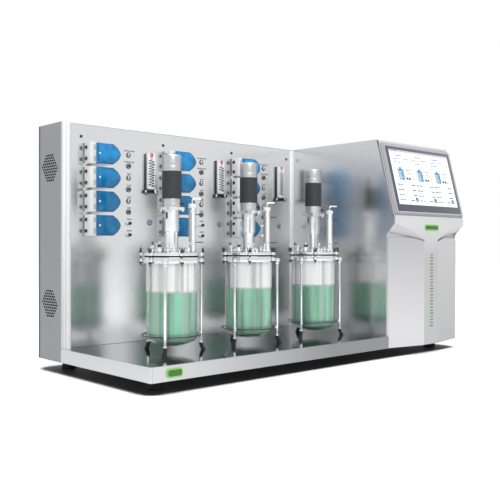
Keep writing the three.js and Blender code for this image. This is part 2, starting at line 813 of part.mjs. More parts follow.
// Ears for the clamp bolts, midway between the legs and beside them.
function lugs(turn, bottom, top) {
  const ears = [];
  for (let i = 0; i < lugCount; i += 1) {
    const angle = turn + ((2 * i + 1) * Math.PI) / lugCount;
    ears.push(rod(lugRadius, onCircle(lugCircle, angle, bottom), onCircle(lugCircle, angle, top)));
  }
  return ears;
}

function headPlate(turn) {
  const seal = ringRadius - sealInset;
  const lid = turned([
    [0, ringTop + gap],
    [seal, ringTop + gap],
    [seal, plateBottom],
    [ringRadius, plateBottom],
    [ringRadius, plateTop],
    [0, plateTop],
  ]);
  const parts = [lid, ...lugs(turn, plateBottom, plateTop)];
  for (const angle of portAngles.map(THREE.MathUtils.degToRad)) {
    const foot = onCircle(portCircle, angle, plateTop - 1);
    parts.push(rod(portRadius, foot, onCircle(portCircle, angle, plateTop + portHeight)));
  }
  for (const angle of dipAngles.map(THREE.MathUtils.degToRad)) {
    const tip = onCircle(dipCircle, angle, dipBottom);
    parts.push(rod(dipRadius, tip, onCircle(dipCircle, angle, ringTop + 1)));
  }
  const shaftHole = rod(shaftRadius + 1, [0, 0, ringTop - 1], [0, 0, plateTop + 1], midSides);
  return join(parts).subtract(shaftHole);
}

function bellHousing(turn) {
  const base = bellBottom;
  const step = base + neckHeight;
  const bearingTop = base + bearingLength;
  const bore = shaftRadius + gap;
  const neckBore = neckRadius - bellWall;
  const bellBore = bellRadius - bellWall;
  const half = flangeSide / 2;
  const profile = [
    [bore, base],
    [bellFootRadius, base],
    [bellFootRadius, base + bellFootHeight],
    [neckRadius, base + bellFootHeight],
    [neckRadius, step],
    [bellRadius, step + 2],
    [bellRadius, flangeBottom + 1],
    [bellBore, flangeBottom + 1],
    [bellBore, step + bellWall],
    [neckBore, step - 2],
    [neckBore, bearingTop],
    [bore, bearingTop],
    [bore, base],
  ];
  const square = block(-half, half, -half, half, flangeBottom, flangeTop);
  const flange = square.subtract(rod(bellBore, [0, 0, flangeBottom - 1], [0, 0, flangeTop + 1], midSides));
  const windowZ = flangeBottom - windowDrop;
  const slot = new THREE.Shape();
  const straight = (windowHeight - windowWidth) / 2;
  slot.absarc(0, straight, windowWidth / 2, 0, Math.PI);
  slot.absarc(0, -straight, windowWidth / 2, Math.PI, 2 * Math.PI);
  const cut = prismY(slot, -half, half).translate(0, 0, windowZ);
  return turned(profile, midSides).add(flange).subtract(cut.rotate(0, 0, turn));
}

function stirrerMotor() {
  const gearTop = motorBottom + gearHeight;
  const bodyTop = gearTop + motorHeight;
  const capTop = bodyTop + motorCapHeight;
  const capRadius = motorRadius - capStep;
  return turned([
    [0, motorBottom],
    [gearRadius, motorBottom],
    [gearRadius, gearTop],
    [motorRadius, gearTop],
    [motorRadius, bodyTop],
    [capRadius, bodyTop],
    [capRadius, capTop - capBevel],
    [capRadius - capBevel, capTop],
    [0, capTop],
  ]);
}

function agitator() {
  const low = impellerHeight - impellerBlade / 2;
  const high = impellerHeight + impellerBlade / 2;
  const couplingTop = flangeBottom - couplingDrop;
  const couplingBottom = couplingTop - couplingHeight;
  const end = motorBottom - gap;
  const profile = [
    [0, low],
    [impellerHub, low],
    [impellerHub, high],
    [shaftRadius, high],
    [shaftRadius, couplingBottom],
    [couplingRadius, couplingBottom],
    [couplingRadius, couplingTop],
    [shaftRadius, couplingTop],
    [shaftRadius, end],
    [0, end],
  ];
  const parts = [turned(profile, midSides)];
  for (let i = 0; i < bladeCount; i += 1) {
    const blade = block(impellerHub - 2, impellerRadius, -1, 1, low, high);
    parts.push(blade.rotate(0, 0, (i * 360) / bladeCount));
  }
  return join(parts);
}

function condenser() {
  const base = plateTop + gap;
  const top = base + condenserHeight;
  const capTop = top + condenserCapHeight;
  const foot = condenserRadius + capBevel;
  const profile = [
    [0, base],
    [foot, base],
    [foot, base + condenserFoot],
    [condenserRadius, base + condenserFoot],
    [condenserRadius, top],
    [condenserCapRadius, top],
    [condenserCapRadius, capTop - capBevel],
    [condenserCapRadius - capBevel, capTop],
    [0, capTop],
  ];
  const parts = [turned(profile, midSides)];
  for (const height of nozzleHeights) {
    const z = base + height;
    parts.push(rod(nozzleRadius, [condenserRadius - 2, 0, z], [condenserRadius + nozzleReach, 0, z]));
  }
  parts.push(elbow(capTop));
  const turnDegrees = THREE.MathUtils.radToDeg(condenserAngle);
  const [x, y] = onCircle(condenserCircle, condenserAngle, 0);
  return join(parts).rotate(0, 0, turnDegrees).translate(x, y, 0);
}

// Vent pipe that rises from the condenser and bends outwards.
function elbow(from) {
  const bend = elbowRise / 2;
  const path = new THREE.CurvePath();
  const low = new THREE.Vector3(0, 0, from - 2);
  const bendStart = new THREE.Vector3(0, 0, from + elbowRise - bend);
  const corner = new THREE.Vector3(0, 0, from + elbowRise);
  const bendEnd = new THREE.Vector3(bend, 0, from + elbowRise);
  const tip = new THREE.Vector3(elbowReach, 0, from + elbowRise);
  path.add(new THREE.LineCurve3(low, bendStart));
  path.add(new THREE.QuadraticBezierCurve3(bendStart, corner, bendEnd));
  path.add(new THREE.LineCurve3(bendEnd, tip));
  const section = new THREE.Shape();
  section.absarc(0, 0, ventRadius, 0, 2 * Math.PI);
  const along = { steps: thinSides, curveSegments: thinSides / 2, extrudePath: path };
  return toSolid(new THREE.ExtrudeGeometry(section, along));
}

// ---------------------------------------------------------------- assembly
const bioreactor = new THREE.Group();
const body = new THREE.Group();
const frontmost = screenFaceBottom - screenBevel * (Math.cos(screenTilt) - Math.sin(screenTilt));
body.position.set(-bodyWidth / 2, -frontmost / 2, footHeight);
bioreactor.add(body);

body.add(
  piece('base_tray', baseTray(), 'brushedSteel'),
  piece('base_pan', basePan(), 'brushedSteel'),
  piece('rear_cabinet', rearCabinet(), 'greyPaint'),
  piece('rear_cover', rearCover(), 'greyPaint'),
  piece('instrument_panel', instrumentPanel(), 'polishedSteel'),
  piece('side_cabinet', sideCabinet(), 'lightPaint'),
  piece('mirror_wall', mirrorWall(), 'polishedSteel'),
  piece('console_column', consoleColumn(), 'lightPaint'),
  piece('console_fascia', consoleFascia(), 'lightPaint'),
);

const screen = new THREE.Group();
screen.position.set(consoleX, screenFaceBottom, screenBottom);
screen.rotation.x = -screenTilt;
screen.add(
  piece('screen_frame', screenFrame(), 'lightPaint'),
  piece('touch_screen', touchScreen(), 'screenGlass'),
);
body.add(screen);

for (const [side, x] of [['left', footInset], ['right', bodyWidth - footInset]]) {
  for (const [end, y] of [['front', sideFront + footInset], ['rear', -footInset]]) {
    const support = piece(`foot_${end}_${side}`, foot(), 'blackRubber');
    support.position.set(x, y, -footHeight);
    body.add(support);
  }
}

for (let bay = 0; bay < bayCount; bay += 1) {
  const number = bay + 1;
  body.add(piece(`pump_bank_${number}`, pumpBank(bay), 'bluePlastic'));
  for (let pump = 0; pump < pumpCount; pump += 1) {
    const [x, z] = pumpAxis(bay, pump);
    const rotor = piece(`pump_rotor_${number}_${pump + 1}`, pumpRotor(), 'whitePlastic');
    rotor.position.set(x, panelFace - gap, z);
    body.add(rotor);
  }
  body.add(piece(`flow_meter_${number}`, flowMeter(bay), 'whitePlastic'));
  const knob = piece(`valve_knob_${number}`, valveKnob(), 'blackRubber');
  const [knobX, knobZ] = knobPlace(bay);
  knob.position.set(knobX, panelFace - gap, knobZ);
  body.add(knob);

  const turn = THREE.MathUtils.degToRad(standTurns[bay]);
  const vessel = new THREE.Group();
  vessel.position.set(vesselX(bay), panelFace - vesselStandoff, trayHeight + gap);
  vessel.add(
    piece(`vessel_stand_${number}`, vesselStand(turn), 'brushedSteel'),
    piece(`vessel_glass_${number}`, vesselGlass(), 'clearGlass'),
    piece(`culture_medium_${number}`, cultureMedium(), 'greenMedium'),
    piece(`head_plate_${number}`, headPlate(turn), 'brushedSteel'),
    piece(`bell_housing_${number}`, bellHousing(windowTurns[bay]), 'brushedSteel'),
    piece(`stirrer_motor_${number}`, stirrerMotor(), 'blackMotor'),
    piece(`agitator_${number}`, agitator(), 'brushedSteel'),
    piece(`condenser_${number}`, condenser(), 'brushedSteel'),
  );
  body.add(vessel);
}

export default bioreactor;
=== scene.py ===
"""Bench bioreactor with three stirred glass vessels: the finished look of its pieces.

The packed frame gives every position. Shapes are drawn in millimetres about a piece's own
centre and put in place when the piece is finished.
"""
import json
import math

import bmesh
import bpy
from bpy.props import FloatProperty, FloatVectorProperty, IntProperty, PointerProperty
from mathutils import Euler, Matrix, Vector


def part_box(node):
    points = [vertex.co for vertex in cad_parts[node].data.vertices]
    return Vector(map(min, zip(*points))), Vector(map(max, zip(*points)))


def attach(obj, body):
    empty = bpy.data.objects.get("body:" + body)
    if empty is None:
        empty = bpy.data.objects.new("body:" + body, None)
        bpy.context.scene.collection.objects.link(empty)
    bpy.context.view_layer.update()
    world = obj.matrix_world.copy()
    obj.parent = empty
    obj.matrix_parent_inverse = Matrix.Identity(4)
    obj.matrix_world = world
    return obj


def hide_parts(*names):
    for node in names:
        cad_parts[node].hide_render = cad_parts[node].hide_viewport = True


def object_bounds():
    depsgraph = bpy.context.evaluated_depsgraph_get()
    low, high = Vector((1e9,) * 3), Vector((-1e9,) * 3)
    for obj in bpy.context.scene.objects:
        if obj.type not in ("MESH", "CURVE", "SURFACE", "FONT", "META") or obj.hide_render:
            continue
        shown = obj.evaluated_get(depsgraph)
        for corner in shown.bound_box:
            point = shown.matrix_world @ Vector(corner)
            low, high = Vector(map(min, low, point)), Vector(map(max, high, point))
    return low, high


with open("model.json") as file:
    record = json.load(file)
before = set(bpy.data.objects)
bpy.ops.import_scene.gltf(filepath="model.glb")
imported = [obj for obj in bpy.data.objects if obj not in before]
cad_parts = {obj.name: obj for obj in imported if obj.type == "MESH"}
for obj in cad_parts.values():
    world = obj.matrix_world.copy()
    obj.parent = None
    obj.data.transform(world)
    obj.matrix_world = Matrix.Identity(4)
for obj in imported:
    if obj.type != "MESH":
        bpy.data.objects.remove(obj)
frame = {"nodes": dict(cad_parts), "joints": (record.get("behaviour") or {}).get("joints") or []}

bl_info = {
    "name": "Bench Bioreactor",
    "version": (1, 0, 0),
    "blender": (4, 5, 0),
    "location": "View3D > Sidebar > Bioreactor",
    "description": "Builds the finished pieces of a bench bioreactor round its packed frame",
    "category": "Object"}

CAD_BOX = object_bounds()
GROUND = CAD_BOX[0][2]      # what the feet stand on
JOINTS = {joint["child"]: joint for joint in frame["joints"]}
FINISH = {}                 # the finishes and the patterns, by name, once they are made
PATTERN = {}
STAND = "stand"             # the body that stays still
BAYS = (1, 2, 3)
PUMPS = (1, 2, 3, 4)
SCREW_ROWS = 6              # screws down each side of the back cover
MM = 0.001
CAMERA_ROLL = math.radians(0.124)
SHARP = math.radians(40)    # an edge that turns more than this is rounded
STRAIGHT = math.radians(172)    # a corner wider than this is left
SQUARE_ON = 0.9             # a normal this long along an axis makes its face square to it
WHITE = (1, 1, 1, 1)        # with its alpha

# Metres
PROUD = 0.0001              # how far a fitting stands off the face behind it
BAY_REACH = 0.131           # from a bay's left edge to its pumps' axes
FITTING_COLUMN = 0.2274     # from a bay's left edge to its fittings
COVER_BOLT = (0.3178, 0.4657)   # from a bay's left edge, and above the panel's foot
SCREW_COLUMNS = (0.0747, 0.4144, 0.7491, 1.0600)    # panel screws from the cabinet's left
POST_WIDTH = 0.0371         # white front post of the cabinet
REAR_SEAM = 0.008           # dark seam along the cabinet's rear edge
POST_GROOVE = (0.017, 0.021)    # groove in the post, from its left edge
LINER_FOOT = 0.4204         # console liner above the ground
TRAY_BADGE = (0.0835, 0.023)    # from the tray's left end, and above its foot
REAR_VENTS = (0.17, 0.39, 0.61, 0.83)   # middles of the rear vents, as shares of the width
REAR_VENT_DROP = 0.13       # middles of the rear vents below the cover's top
SCREW_EDGE, SCREW_END = 0.014, 0.03     # cover screws from its side edges, and its foot and top
KNOB_DEPTH = 0.014          # knob's back from its front face
POWER_INLET = (0.2, 0.11)   # from the cover's left edge seen from behind, and above its foot

# Millimetres
AXIS = 0.01                 # where a turned solid closes on its axis
FITTING_HEIGHTS = (710, 671, 629, 588, 547, 508, 468, 427)      # above the tray's foot
DASH_RISE = 14.5            # dashes above the middle of their fitting
# painted reflection: dark dots on the panel where the pump ports are mirrored
PORT_REFLECTIONS = 97              # dots beside the pump ports, left of the pumps' axes
PORT_SIDES = (-19, 19)      # a pump's two tube ports, below and above its axis
BLOCK_LEFT, BLOCK_RIGHT, BLOCK_HALF = -83, -58, 36      # tube block about a rotor's axis
BLOCK_MARKS = ((7, -68, 7), (3.4, -66, 4), (0, -69, 8), (-3.6, -65, 4), (-7, -68, 7))
ROLLER_CIRCLE = 20          # rollers from a rotor's axis
PICTURE_LEVEL = 0.95        # display's ground in front of the screen's plane
SLOT_CUT = 12               # depth of a vent slot's cutter

# Millimetres from a vessel's axis, and above its stand's feet
RING, LUGS, LEGS, HOOP = 95, 97, 102, 95.7
LID_TOP = 321


# ---------------- places in the frame
def pivot(body):
    """Where a moving body's axis starts."""
    return Vector(JOINTS[body]["pos_m"])


def rotor_axis(bay, pump):
    """Where a pump rotor's axis starts. The first pump is a bank's uppermost."""
    return pivot(f"pump_rotor_{bay}_{pump}")


def vessel_foot(bay):
    """A vessel's axis at its stand's feet."""
    return pivot(f"agitator_{bay}")


def bay_left(bay):
    """Left edge of a panel bay, from its first pump's axis."""
    return rotor_axis(bay, 1).x - BAY_REACH


# ---------------- objects and meshes
def linked(name, data):
    """A new object in the scene."""
    item = bpy.data.objects.new(name, data)
    bpy.context.scene.collection.objects.link(item)
    return item


def applied(item, name):
    """An object's mesh with its modifiers applied. The object is removed."""
    bpy.context.view_layer.update()
    evaluated = item.evaluated_get(bpy.context.evaluated_depsgraph_get())
    mesh = bpy.data.meshes.new_from_object(evaluated)
    mesh.name = name
    item.modifiers.clear()
    bpy.data.objects.remove(item)
    return mesh


def solid_from(mesh):
    """A bmesh from a mesh, which is removed."""
    solid = bmesh.new()
    solid.from_mesh(mesh)
    bpy.data.meshes.remove(mesh)
    return solid


def shade_smooth(mesh):
    mesh.polygons.foreach_set("use_smooth", [True] * len(mesh.polygons))


# ---------------- shapes
def fillet(points, radius, closed=False, steps=3):
    """A line of (u, v) points with its corners rounded."""
    count = len(points)
    result = []
    for i, (u, v) in enumerate(points):
        if not closed and i in (0, count - 1):
            result.append((u, v))
            continue
        corner = Vector((u, v))
        before = Vector(points[i - 1]) - corner
        after = Vector(points[(i + 1) % count]) - corner
        reach = min(radius, before.length * 0.45, after.length * 0.45)
        if reach < 1e-4 or before.angle(after) > STRAIGHT:
            result.append((u, v))
            continue
        start = corner + before.normalized() * reach
        end = corner + after.normalized() * reach
        for k in range(steps + 1):
            t = k / steps
            point = start * (1 - t) ** 2 + corner * 2 * t * (1 - t) + end * t * t
            result.append((point.x, point.y))
    return result


def circle(radius, sides, centre=(0, 0), turn=0.0):
    """A regular outline about a centre."""
    points = []
    for i in range(sides):
        angle = turn + 2 * math.pi * i / sides
        points.append((centre[0] + radius * math.cos(angle), centre[1] + radius * math.sin(angle)))
    return points


def ribbed(sides, radii):
    """An outline whose points take each radius in turn."""
    points = []
    for i in range(sides):
        radius, angle = radii[i % len(radii)], 2 * math.pi * i / sides
        points.append((radius * math.cos(angle), radius * math.sin(angle)))
    return points


def shift(x, y, z):
    return Matrix.Translation((x, y, z))


def spun(degrees):
    """Turns about Z."""
    return Matrix.Rotation(math.radians(degrees), 4, "Z")


def facing(direction):
    """Turns +Z to a direction."""
    return Vector(direction).to_track_quat("Z", "Y").to_matrix().to_4x4()


class Shape:
    """One mesh of several closed solids, each with its own finish, drawn in millimetres."""

    def __init__(self):
        self.body = bmesh.new()
        self.finishes = []

    def slot(self, finish):
        if finish not in self.finishes:
            self.finishes.append(finish)
        return self.finishes.index(finish)

    def add(self, solid, finish, place=None):
        """Joins a closed solid to the shape and frees it."""
        bmesh.ops.remove_doubles(solid, verts=solid.verts, dist=1e-5)
        bmesh.ops.recalc_face_normals(solid, faces=solid.faces)
        if place is not None:
            bmesh.ops.transform(solid, matrix=place, verts=solid.verts)
        index = self.slot(finish)
        for face in solid.faces:
            face.material_index = index
        carrier = bpy.data.meshes.new("carrier")
        solid.to_mesh(carrier)
        solid.free()
        self.body.from_mesh(carrier)
        bpy.data.meshes.remove(carrier)

    def loft(self, rings, finish, place=None, closed=False):
        """A skin through rings of points, capped at both ends unless the rings close."""
        solid = bmesh.new()
        rows = [[solid.verts.new(point) for point in ring] for ring in rings]
        pairs = list(zip(rows, rows[1:]))
        if closed:
            pairs.append((rows[-1], rows[0]))
        for low, high in pairs:
            sides = len(low)
            for i in range(sides):
                k = (i + 1) % sides
                solid.faces.new((low[i], low[k], high[k], high[i]))
        if not closed:
            solid.faces.new(list(reversed(rows[0])))
            solid.faces.new(rows[-1])
        self.add(solid, finish, place)

    def turned(self, profile, finish, sides=48, place=None, closed=False, soft=0.0):
        """A solid of revolution about Z from (radius, height) points, from axis to axis."""
        if not closed:
            (first, foot), (last, head) = profile[0], profile[-1]
            if first > AXIS:
                profile = [(AXIS, foot), *profile]
            if last > AXIS:
                profile = [*profile, (AXIS, head)]
        if soft:
            profile = fillet(profile, soft, closed)
        rings = [[(x, y, z) for x, y in circle(max(radius, AXIS), sides)] for radius, z in profile]
        self.loft(rings, finish, place, closed)

    def disc(self, radius, low, high, finish, sides=48, place=None, soft=0.0):
        """A plain round disc or cylinder between two heights."""
        self.turned([(radius, low), (radius, high)], finish, sides, place, soft=soft)

    def collar(self, bore, radius, low, high, finish, sides=48, place=None, soft=0.0):
        """A plain ring between two heights."""
        profile = [(bore, low), (radius, low), (radius, high), (bore, high)]
        self.turned(profile, finish, sides, place, True, soft)

    def rod(self, start, end, radius, finish, sides=20, soft=0.0):
        """A round bar between two points."""
        start, end = Vector(start), Vector(end)
        length = (end - start).length
        profile = [(radius, 0), (radius, length)]
        place = Matrix.Translation(start) @ facing(end - start)
        self.turned(profile, finish, sides, place, soft=soft or radius * 0.2)

    def tube(self, path, radius, finish, sides=12, closed=False):
        """A round wire or pipe along a path of points. radius may be one number per point."""
        points = [Vector(point) for point in path]
        radii = radius if isinstance(radius, (list, tuple)) else [radius] * len(points)
        last = len(points) - 1
        normal = None
        rings = []
        for i, point in enumerate(points):
            ahead = points[(i + 1) % len(points)] if closed or i < last else point
            behind = points[i - 1] if closed or i > 0 else point
            along = (ahead - behind).normalized()
            if normal is None:
                normal = along.orthogonal().normalized()
            normal = (normal - along * normal.dot(along)).normalized()
            side = along.cross(normal)
            rings.append([point + radii[i] * (normal * x + side * y) for x, y in circle(1, sides)])
        self.loft(rings, finish, closed=closed)

    def block(self, low, high, finish, soft=0.6, place=None, steps=2):
        """A box with eased edges."""
        low, high = Vector(low), Vector(high)
        solid = bmesh.new()
        size = Matrix.Diagonal((*(high - low), 1))
        bmesh.ops.create_cube(solid, size=1, matrix=Matrix.Translation((low + high) / 2) @ size)
        self.ease(solid, soft, steps)
        self.add(solid, finish, place)

    def plate(self, outline, thickness, finish, soft=0.6, place=None):
        """An outline in the XY plane, pulled up to a thickness, with eased edges."""
        solid = bmesh.new()
        base = [solid.verts.new((x, y, 0)) for x, y in outline]
        face = solid.faces.new(base)
        pulled = bmesh.ops.extrude_face_region(solid, geom=[face])
        raised = [item for item in pulled["geom"] if isinstance(item, bmesh.types.BMVert)]
        bmesh.ops.translate(solid, verts=raised, vec=(0, 0, thickness))
        self.ease(solid, soft)
        self.add(solid, finish, place)

    def ease(self, solid, soft, steps=2):
        """Rounds a solid's sharp edges."""
        if soft <= 0:
            return
        bmesh.ops.recalc_face_normals(solid, faces=solid.faces)
        sharp = [
            edge for edge in solid.edges
            if len(edge.link_faces) == 2 and edge.calc_face_angle(0) > SHARP]
        bmesh.ops.bevel(
            solid, geom=sharp, offset=soft, segments=steps, profile=0.5, affect="EDGES",
            clamp_overlap=True)

    def done(self, name, at, body=STAND, slot=None, replaced=(), turn=None, crease=35):
        """Makes the shape an object in the frame, riding on a body."""
        place = Matrix.Translation(Vector(at)) @ Matrix.Scale(MM, 4)
        if turn is not None:
            place = place @ turn
        bmesh.ops.transform(self.body, matrix=place, verts=self.body.verts)
        mesh = bpy.data.meshes.new(name)
        self.body.to_mesh(mesh)
        self.body.free()
        for finish in self.finishes:
            mesh.materials.append(FINISH[finish])
        settle(name, mesh, body, replaced, crease)

    def stands_for(self, node, at, slot, body=STAND, ending="finished", **more):
        """Makes the shape the finished piece of one CAD node."""
        self.done(f"{node}_{ending}", at, body, slot, (node,), **more)


def settle(name, mesh, body, replaced=(), crease=35):
    """Links a finished mesh as a piece of the object."""
    shade_smooth(mesh)
    mesh.set_sharp_from_angle(angle=math.radians(crease))
    mesh.update()
    piece = linked(name, mesh)
    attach(piece, body)
    if replaced:
        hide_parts(*replaced)


# ---------------- finishes
def add_node(tree, kind, inputs, settings):
    """Makes a node, then sets or links its inputs."""
    made = tree.nodes.new(kind)
    for setting, value in settings.items():
        setattr(made, setting, value)
    for socket, value in dict(inputs).items():
        if isinstance(value, bpy.types.NodeSocket):
            tree.links.new(value, made.inputs[socket])
        else:
            made.inputs[socket].default_value = value
    return made


class NodeTree:
    """A tree that nodes are added to."""

    def node(self, kind, inputs=(), **settings):
        return add_node(self.tree, kind, inputs, settings)

    def math(self, operation, first, second=0):
        made = self.node("ShaderNodeMath", {0: first, 1: second}, operation=operation)
        return made.outputs[0]


class Recipe(NodeTree):
    """Builds one finish: a Principled shader and the nodes that vary it over the surface."""

    def __init__(self, name, colour, roughness, metallic=0.0, **sockets):
        self.finish = bpy.data.materials.new(name)
        self.finish.use_nodes = True
        self.tree = self.finish.node_tree
        self.shader = self.tree.nodes["Principled BSDF"]
        self.colour = tuple(colour)
        self.roughness = roughness
        self.shader.inputs["Base Color"].default_value = (*colour, 1)
        self.shader.inputs["Roughness"].default_value = roughness
        self.shader.inputs["Metallic"].default_value = metallic
        for socket, value in sockets.items():
            self.shader.inputs[socket.replace("_", " ")].default_value = value
        self.place = self.node("ShaderNodeTexCoord").outputs["Object"]
        self.relief = None
        FINISH[name] = self.finish

    def noise(self, scale, detail=3.0, stretch=(1, 1, 1), seed=0.0):
        """Noise over the piece's own coordinates, stretched along its grain."""
        spread = self.node(
            "ShaderNodeMapping",
            {"Vector": self.place, "Scale": stretch, "Location": (seed, seed, seed)})
        return self.node(
            "ShaderNodeTexNoise",
            {"Vector": spread.outputs[0], "Scale": scale, "Detail": detail}).outputs["Fac"]

    def axis(self, index):
        """The place along X, Y or Z."""
        return self.node("ShaderNodeSeparateXYZ", {0: self.place}).outputs[index]

    def between(self, value, low, high, source=(0.3, 0.7)):
        return self.node(
            "ShaderNodeMapRange",
            {0: value, 1: source[0], 2: source[1], 3: low, 4: high}).outputs[0]

    def mixed(self, share, first, second):
        """A colour between two, each a colour or a socket."""
        mix = self.node("ShaderNodeMix", {0: share, 6: first, 7: second}, data_type="RGBA")
        return mix.outputs[2]

    def drive(self, socket, value):
        """Links a value to the shader."""
        self.tree.links.new(value, self.shader.inputs[socket])

    def tint(self, value, darker, lighter=1.0):
        """Varies the colour between two shares of itself."""
        low = (*[c * darker for c in self.colour], 1)
        high = (*[min(c * lighter, 1) for c in self.colour], 1)
        self.drive("Base Color", self.mixed(value, low, high))

    def wear(self, value, spread):
        """Varies the roughness about its own value."""
        low, high = self.roughness - spread, self.roughness + spread
        self.drive("Roughness", self.between(value, max(low, 0.01), high))

    def bump(self, value, strength, depth=0.0002):
        settings = {"Height": value, "Strength": strength, "Distance": depth}
        if self.relief is not None:
            settings["Normal"] = self.relief
        self.relief = self.node("ShaderNodeBump", settings).outputs[0]
        self.drive("Normal", self.relief)


def srgb(red, green, blue):
    """A colour as written on a colour card, 0 to 255, for a shader."""
    shares = [c / 255 for c in (red, green, blue)]
    return tuple(c / 12.92 if c <= 0.04 else ((c + 0.055) / 1.055) ** 2.4 for c in shares)


def rolled_sheet(name, colour, roughness, stretch, streak=0.05, painted_light_fall=None, axis=0):
    """Stainless sheet: fine drawn lines one way, soft clouding, and painted light along an axis.
    """
    recipe = Recipe(name, colour, roughness, 1.0)
    lines = recipe.noise(60, 4, stretch)
    clouds = recipe.noise(3.5, 2)
    # painted light: a fall of tone along an axis stands in for light and reflection
    if painted_light_fall:
        start, end, bright, painted_shade_share = painted_light_fall
        along = recipe.axis(axis)
        level = recipe.between(along, 0, 1, (end, start))
        cloudy = recipe.math("MULTIPLY", clouds, 0.1)
        clouds = recipe.math("ADD", level, cloudy)
        recipe.tint(clouds, painted_shade_share, bright)
    else:
        recipe.tint(clouds, 0.94, 1.04)
    recipe.wear(lines, streak)
    recipe.bump(lines, 0.03, 0.0001)


def powder_coat(name, colour, roughness, grain=900, relief=0.05, darker=0.97, painted_light_fall=None):
    """Sprayed paint: fine orange peel, and an even colour or painted light and shade by height."""
    recipe = Recipe(name, colour, roughness)
    peel = recipe.noise(grain, 2)
    # painted light and shade: the tone falls off with height
    if painted_light_fall:
        low, high, below, above = painted_light_fall
        height = recipe.axis(2)
        recipe.tint(recipe.between(height, 0, 1, (low, high)), below, above)
    else:
        recipe.tint(recipe.noise(4, 2), darker, 1.02)
    recipe.wear(recipe.noise(30, 2), 0.04)
    recipe.bump(peel, relief, 0.0001)


def turned_metal(name, colour, roughness, stretch=(1, 1, 14), streak=None):
    """Turned or polished metal with faint tool marks round it, or painted upright reflections too.
    """
    recipe = Recipe(name, colour, roughness, 1.0)
    marks = recipe.noise(160, 3, stretch)
    # painted reflection: upright light and dark bands in the colour
    if streak:
        recipe.tint(
            recipe.between(recipe.noise(95, 1, (1, 1, 0.01)), 0, 1, (0.38, 0.5)), streak, 1.04)
    else:
        recipe.tint(recipe.noise(25, 2), 0.9, 1.03)
    recipe.wear(marks, roughness * 0.35)
    recipe.bump(marks, 0.02, 0.00005)


def moulded(name, colour, roughness, grain=700, relief=0.04, **sockets):
    """Moulded plastic or rubber with a fine matt grain."""
    recipe = Recipe(name, colour, roughness, **sockets)
    recipe.tint(recipe.noise(18, 3), 0.93, 1.05)
    recipe.wear(recipe.noise(40, 3), 0.05)
    recipe.bump(recipe.noise(grain, 2), relief, 0.0001)


def make_finishes(look):
    """Every finish of the object, from the look's colours."""
    # tray, skirt and wall: each fall of tone along an axis is painted light and reflection
    rolled_sheet(
        "tray_mirror", look.tray_steel, 0.1, (1, 9, 1), 0.025, painted_light_fall=(-0.7, 0.3, 1.0, 0.86))
    rolled_sheet(
        "skirt_brushed", look.skirt_steel, 0.36, (1, 1, 16), 0.05, painted_light_fall=(-0.8, 0.0, 1.22, 0.5))
    rolled_sheet("panel_brushed", look.panel_steel, 0.21, (10, 1, 1), 0.02)
    rolled_sheet("wall_brushed", look.wall_steel, 0.23, (1, 10, 1), 0.02, (0.1, 0.8, 1.08, 0.8), 2)
    # cabinet grey: grey paint, darkened in part as painted shade for the sides turned from the
    # light
    powder_coat("cabinet_grey", look.cabinet_paint_and_shade, 0.5)
    powder_coat("console_white", look.console_paint, 0.38)
    # console front and facets: copies of one paint, with painted light and shade falling with
    # height
    powder_coat("painted_shade_console_front", look.console_paint, 0.38, painted_light_fall=(0.38, 0.5, 0.83, 1.09))
    powder_coat("painted_shade_facet_left", look.console_paint, 0.38, painted_light_fall=(0.1, 0.45, 1.12, 0.78))
    powder_coat("painted_shade_facet_right", look.console_paint, 0.38, painted_light_fall=(0.05, 0.45, 0.74, 0.98))
    # frame face: a lighter copy of the frame grey, painted light on the faces that look out
    powder_coat("painted_light_frame_face", srgb(188, 187, 191), 0.34)
    powder_coat("trim_white", look.trim_paint, 0.32)
    powder_coat("joint_shadow", look.shut_line, 0.6)
    powder_coat("frame_side_grey", look.frame_paint, 0.36, darker=0.95)
    turned_metal("polished_steel", srgb(220, 221, 222), 0.12)
    turned_metal("housing_steel", srgb(228, 229, 230), 0.27, streak=0.6)
    turned_metal("bright_chrome", srgb(226, 227, 228), 0.07)
    turned_metal("dark_steel", srgb(70, 72, 76), 0.32)
    turned_metal("motor_silver", srgb(190, 191, 193), 0.28, (1, 1, 20))
    turned_metal("bolt_zinc", srgb(126, 146, 168), 0.24)
    moulded("rubber_black", srgb(22, 22, 23), 0.8, 400, 0.15)
    moulded("vent_shade_black", srgb(24, 24, 26), 0.9, 300, 0.3)
    for name, (*card, roughness) in {
        "motor_black": (38, 39, 41, 0.42), "plastic_black": (26, 27, 29, 0.35),
        "ivory": (228, 229, 227, 0.42), "bolt_blue": (92, 130, 162, 0.35),
        "socket_grey": (74, 76, 80, 0.4), "seam_dark": (58, 58, 60, 0.6),
        "cover_rim": (16, 78, 142, 0.25),
        "mark_slate": (90, 104, 132, 0.5), "cap_white": (236, 237, 238, 0.35),
        "mark_blue": (84, 108, 150, 0.5), "mark_grey": (96, 100, 108, 0.5),
        "mark_dark": (58, 50, 52, 0.5),
        "mark_red": (196, 52, 48, 0.45), "lead_pale": (210, 212, 208, 0.45),
        "badge_green": (54, 112, 36, 0.3), "badge_rim": (128, 206, 80, 0.3),
        "accent_green": (104, 150, 84, 0.4)}.items():
        moulded(name, srgb(*card), roughness)
    moulded("bezel_slate", srgb(84, 85, 99), 0.25, 900, 0.02)
    cover_blue(look.cover_blue)
    clear_glass()
    stirred_medium(look.medium_green)
    lit_display()


